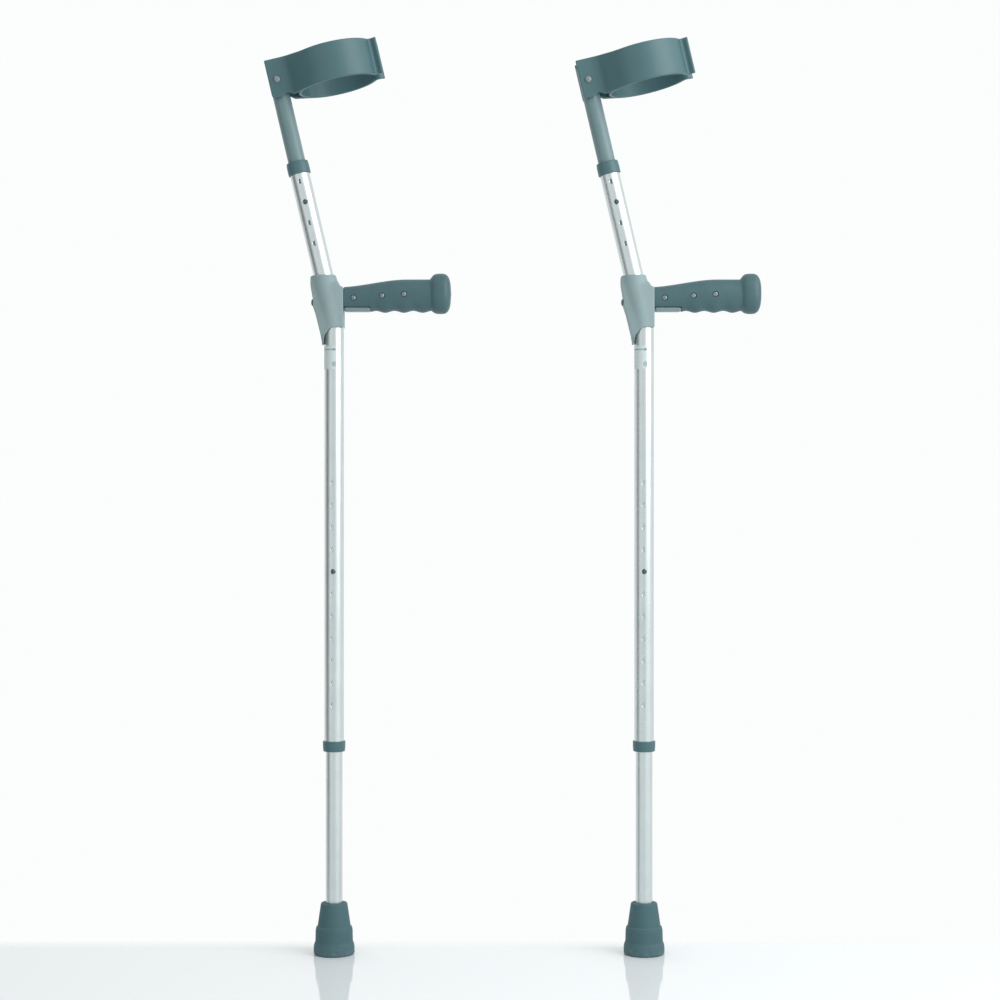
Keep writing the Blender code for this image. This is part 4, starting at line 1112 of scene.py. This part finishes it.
def label_rings():
    width = (LABEL_END - LABEL_START) * LABEL_OUTER
    stops = [0.0, 0.3, 0.8, 1.5, LABEL_CORNER]
    arcs = stops + [LABEL_CORNER + (width - 2 * LABEL_CORNER) * k / 14 for k in range(1, 14)]
    arcs += [width - stop for stop in reversed(stops)]
    rings = []
    for arc in arcs:
        angle = LABEL_START + arc / LABEL_OUTER
        near = min(arc, width - arc, LABEL_CORNER)
        inset = LABEL_CORNER - math.sqrt(LABEL_CORNER ** 2 - (LABEL_CORNER - near) ** 2)
        rings.append([(r * math.cos(angle), r * math.sin(angle), z) for r, z in (
            (LABEL_INNER, LABEL_LOW + inset), (LABEL_OUTER, LABEL_LOW + inset),
            (LABEL_OUTER, LABEL_HIGH - inset), (LABEL_INNER, LABEL_HIGH - inset))])
    return rings


def printed_film(name, paper, rule, seal):
    material, tree, shader, coordinates = new_material(name, metallic=0.0, ior=1.46)
    axes = add_node(tree, "SeparateXYZ", {"Vector": coordinates})
    angle = calculate(tree, "ARCTAN2", axes.outputs["Y"], axes.outputs["X"])
    round_tube = calculate(tree, "MULTIPLY", angle, LABEL_OUTER * MM)
    place = add_node(tree, "CombineXYZ", {"X": round_tube, "Z": axes.outputs["Z"]})
    front = -math.pi / 2 * LABEL_OUTER * MM

    def spot(around, height, radius):
        apart = add_node(tree, "VectorMath", {0: place.outputs["Vector"],
                                              1: (front + around * MM, 0, height * MM)},
                         operation="DISTANCE").outputs["Value"]
        return spread(tree, apart, 1.0, 0.0, (radius - 0.15) * MM, (radius + 0.15) * MM)

    above = calculate(tree, "SUBTRACT", axes.outputs["Z"], RULE_HEIGHT * MM)
    off_rule = calculate(tree, "ABSOLUTE", above)
    line = spread(tree, off_rule, 1.0, 0.0, 0.45 * MM, 0.75 * MM)
    dark = calculate(tree, "MAXIMUM", line, spot(0.4, RULE_HEIGHT, 1.6))
    sealed = between(tree, spot(1.2, SEAL_HEIGHT, 3.0), paper, seal)
    grain = noise(tree, coordinates, 0.6)
    surface(tree, shader, between(tree, dark, sealed, rule), spread(tree, grain, 0.30, 0.40))
    return material


LABEL_FILM = printed_film("printed_label_film", "#bcc8c9", "#7c9194", "#93a6a8")
fit("printed_label", lofted("blank_label", label_rings()), LABEL_FILM, "frame",
    ["blank_label"])

# %% [markdown]
# ## Pieces kept from the frame
# The core of the handle, the bushes, the springs and the ferrule's washer already have their
# right shapes. They stay as they are and only get the finish of the real material.

# %% Finishes for kept pieces
BUSH_NYLON = moulded_plastic("turned_black_nylon", "#46585a", "#3c4d50", 0.6, 0.03, 0.36,
                             0.44)
KEPT = {"handle_core": CORE_PLASTIC, "leg_guide": BUSH_NYLON, "stem_guide": BUSH_NYLON,
        "leg_snap_spring": SPRING_STEEL, "stem_snap_spring": SPRING_STEEL,
        "ferrule_washer": ZINC}
for side in SIDES:
    for node, finish in KEPT.items():
        materials = frame["nodes"][f"{side}_{node}"].data.materials
        materials.clear()
        materials.append(finish)
print(f"{len(KEPT) * len(SIDES)} kept pieces finished")

# %% [markdown]
# ## Floor
# The pair stands on a pale, polished shelf against a white room. The shelf is a thin board
# whose gloss comes from its clear lacquer, so it mirrors the ferrules faintly at a low angle.
# Its far edge fades out just behind the crutches.

# %% Floor
FLOOR_HALF_WIDTH = 1.5
FLOOR_FRONT = -1.6
FLOOR_BACK = 0.070
EDGE_FADE = 0.040


def lacquered_board(name, colour):
    material, tree, shader, coordinates = new_material(name, metallic=0.0, ior=1.5)
    shader.inputs["Base Color"].default_value = linear(colour)
    fine = noise(tree, coordinates, 40.0)
    tree.links.new(spread(tree, fine, 0.05, 0.09), shader.inputs["Roughness"])
    depth = add_node(tree, "SeparateXYZ", {"Vector": coordinates}).outputs["Y"]
    shown = spread(tree, depth, 1.0, 0.0, FLOOR_BACK - EDGE_FADE, FLOOR_BACK)
    tree.links.new(shown, shader.inputs["Alpha"])
    return material


def flat_sheet(name, half_width, low, high, material):
    """A flat rectangle from low to high along Y, put in the scene as staging."""
    mesh = bpy.data.meshes.new(name)
    mesh.from_pydata([(-half_width, low, 0), (half_width, low, 0), (half_width, high, 0),
                      (-half_width, high, 0)], [], [(0, 1, 2, 3)])
    mesh.materials.append(material)
    made = placed(name, mesh)
    return made


floor = flat_sheet("floor", FLOOR_HALF_WIDTH, FLOOR_FRONT, FLOOR_BACK,
                   lacquered_board("lacquered_board", "#e0e5e7"))
floor.location.z = FLOOR_Z
print("floor laid")

# %% [markdown]
# ## Light
# A white room lights everything evenly. A large softbox high on the right gives the tubes their
# bright stripe, and a dark card on the left gives the dark one: without something dark to
# reflect, polished metal looks flat. A pale grey card in front takes the glare off surfaces
# that face forward. The cards don't show to the camera.

# %% Room, softbox and cards
room = bpy.data.worlds.new("white_room")
room.use_nodes = True
room_light = room.node_tree.nodes["Background"]
room_light.inputs["Color"].default_value = linear("#fcfdfd")
room_light.inputs["Strength"].default_value = 1.0
scene.world = room
scene.view_settings.view_transform = "Standard"

TARGET = Vector((-0.03, 0.0, 0.60))


def aimed(thing, azimuth, elevation, distance):
    """Places something this far from the target, turned to face it. Azimuth 0 is in front."""
    a, e = math.radians(azimuth), math.radians(elevation)
    out = Vector((math.sin(a) * math.cos(e), -math.cos(a) * math.cos(e), math.sin(e)))
    thing.location = TARGET + out * distance
    thing.rotation_euler = out.to_track_quat("Z", "Y").to_euler()


def softbox(name, width, height, power, azimuth, elevation, distance):
    light = bpy.data.lights.new(name, "AREA")
    light.shape = "RECTANGLE"
    light.size = width
    light.size_y = height
    light.energy = power
    aimed(placed(name, light), azimuth, elevation, distance)


def card(name, grey, width, height, azimuth, elevation, distance):
    """A flat card with an even tone of its own, hidden from the camera."""
    material = bpy.data.materials.new(name)
    material.use_nodes = True
    shader = material.node_tree.nodes["Principled BSDF"]
    shader.inputs["Base Color"].default_value = (0, 0, 0, 1)
    shader.inputs["Specular IOR Level"].default_value = 0
    shader.inputs["Emission Color"].default_value = (grey, grey, grey, 1)
    shader.inputs["Emission Strength"].default_value = 1.0
    made = flat_sheet(name, width / 2, -height / 2, height / 2, material)
    aimed(made, azimuth, elevation, distance)
    made.visible_camera = False


softbox("right_softbox", 1.4, 1.5, 20.0, 54, 25, 1.7)
card("left_dark_card", 0.26, 0.9, 2.6, -82, 0, 1.3)
card("front_grey_card", 0.82, 2.6, 2.6, 0, 0, 3.3)
print("lights placed")

# %% [markdown]
# ## Camera
# The camera stands level at half the crutches' height, square to their side, a little over two
# metres away. A long lens keeps the tubes parallel.

# %% Camera
LENS = 74.0
CAMERA_DISTANCE = 2.3587
CAMERA_HEIGHT = 0.5205
CAMERA_X = -0.0153
camera_data = bpy.data.cameras.new("camera")
camera_data.lens = LENS
camera = placed("camera", camera_data)
camera.location = (CAMERA_X, -CAMERA_DISTANCE, FLOOR_Z + CAMERA_HEIGHT)
camera.rotation_euler = (math.pi / 2, 0, 0)
scene.camera = camera
print(f"camera {CAMERA_DISTANCE:.2f} m away with a {LENS:.0f} mm lens")
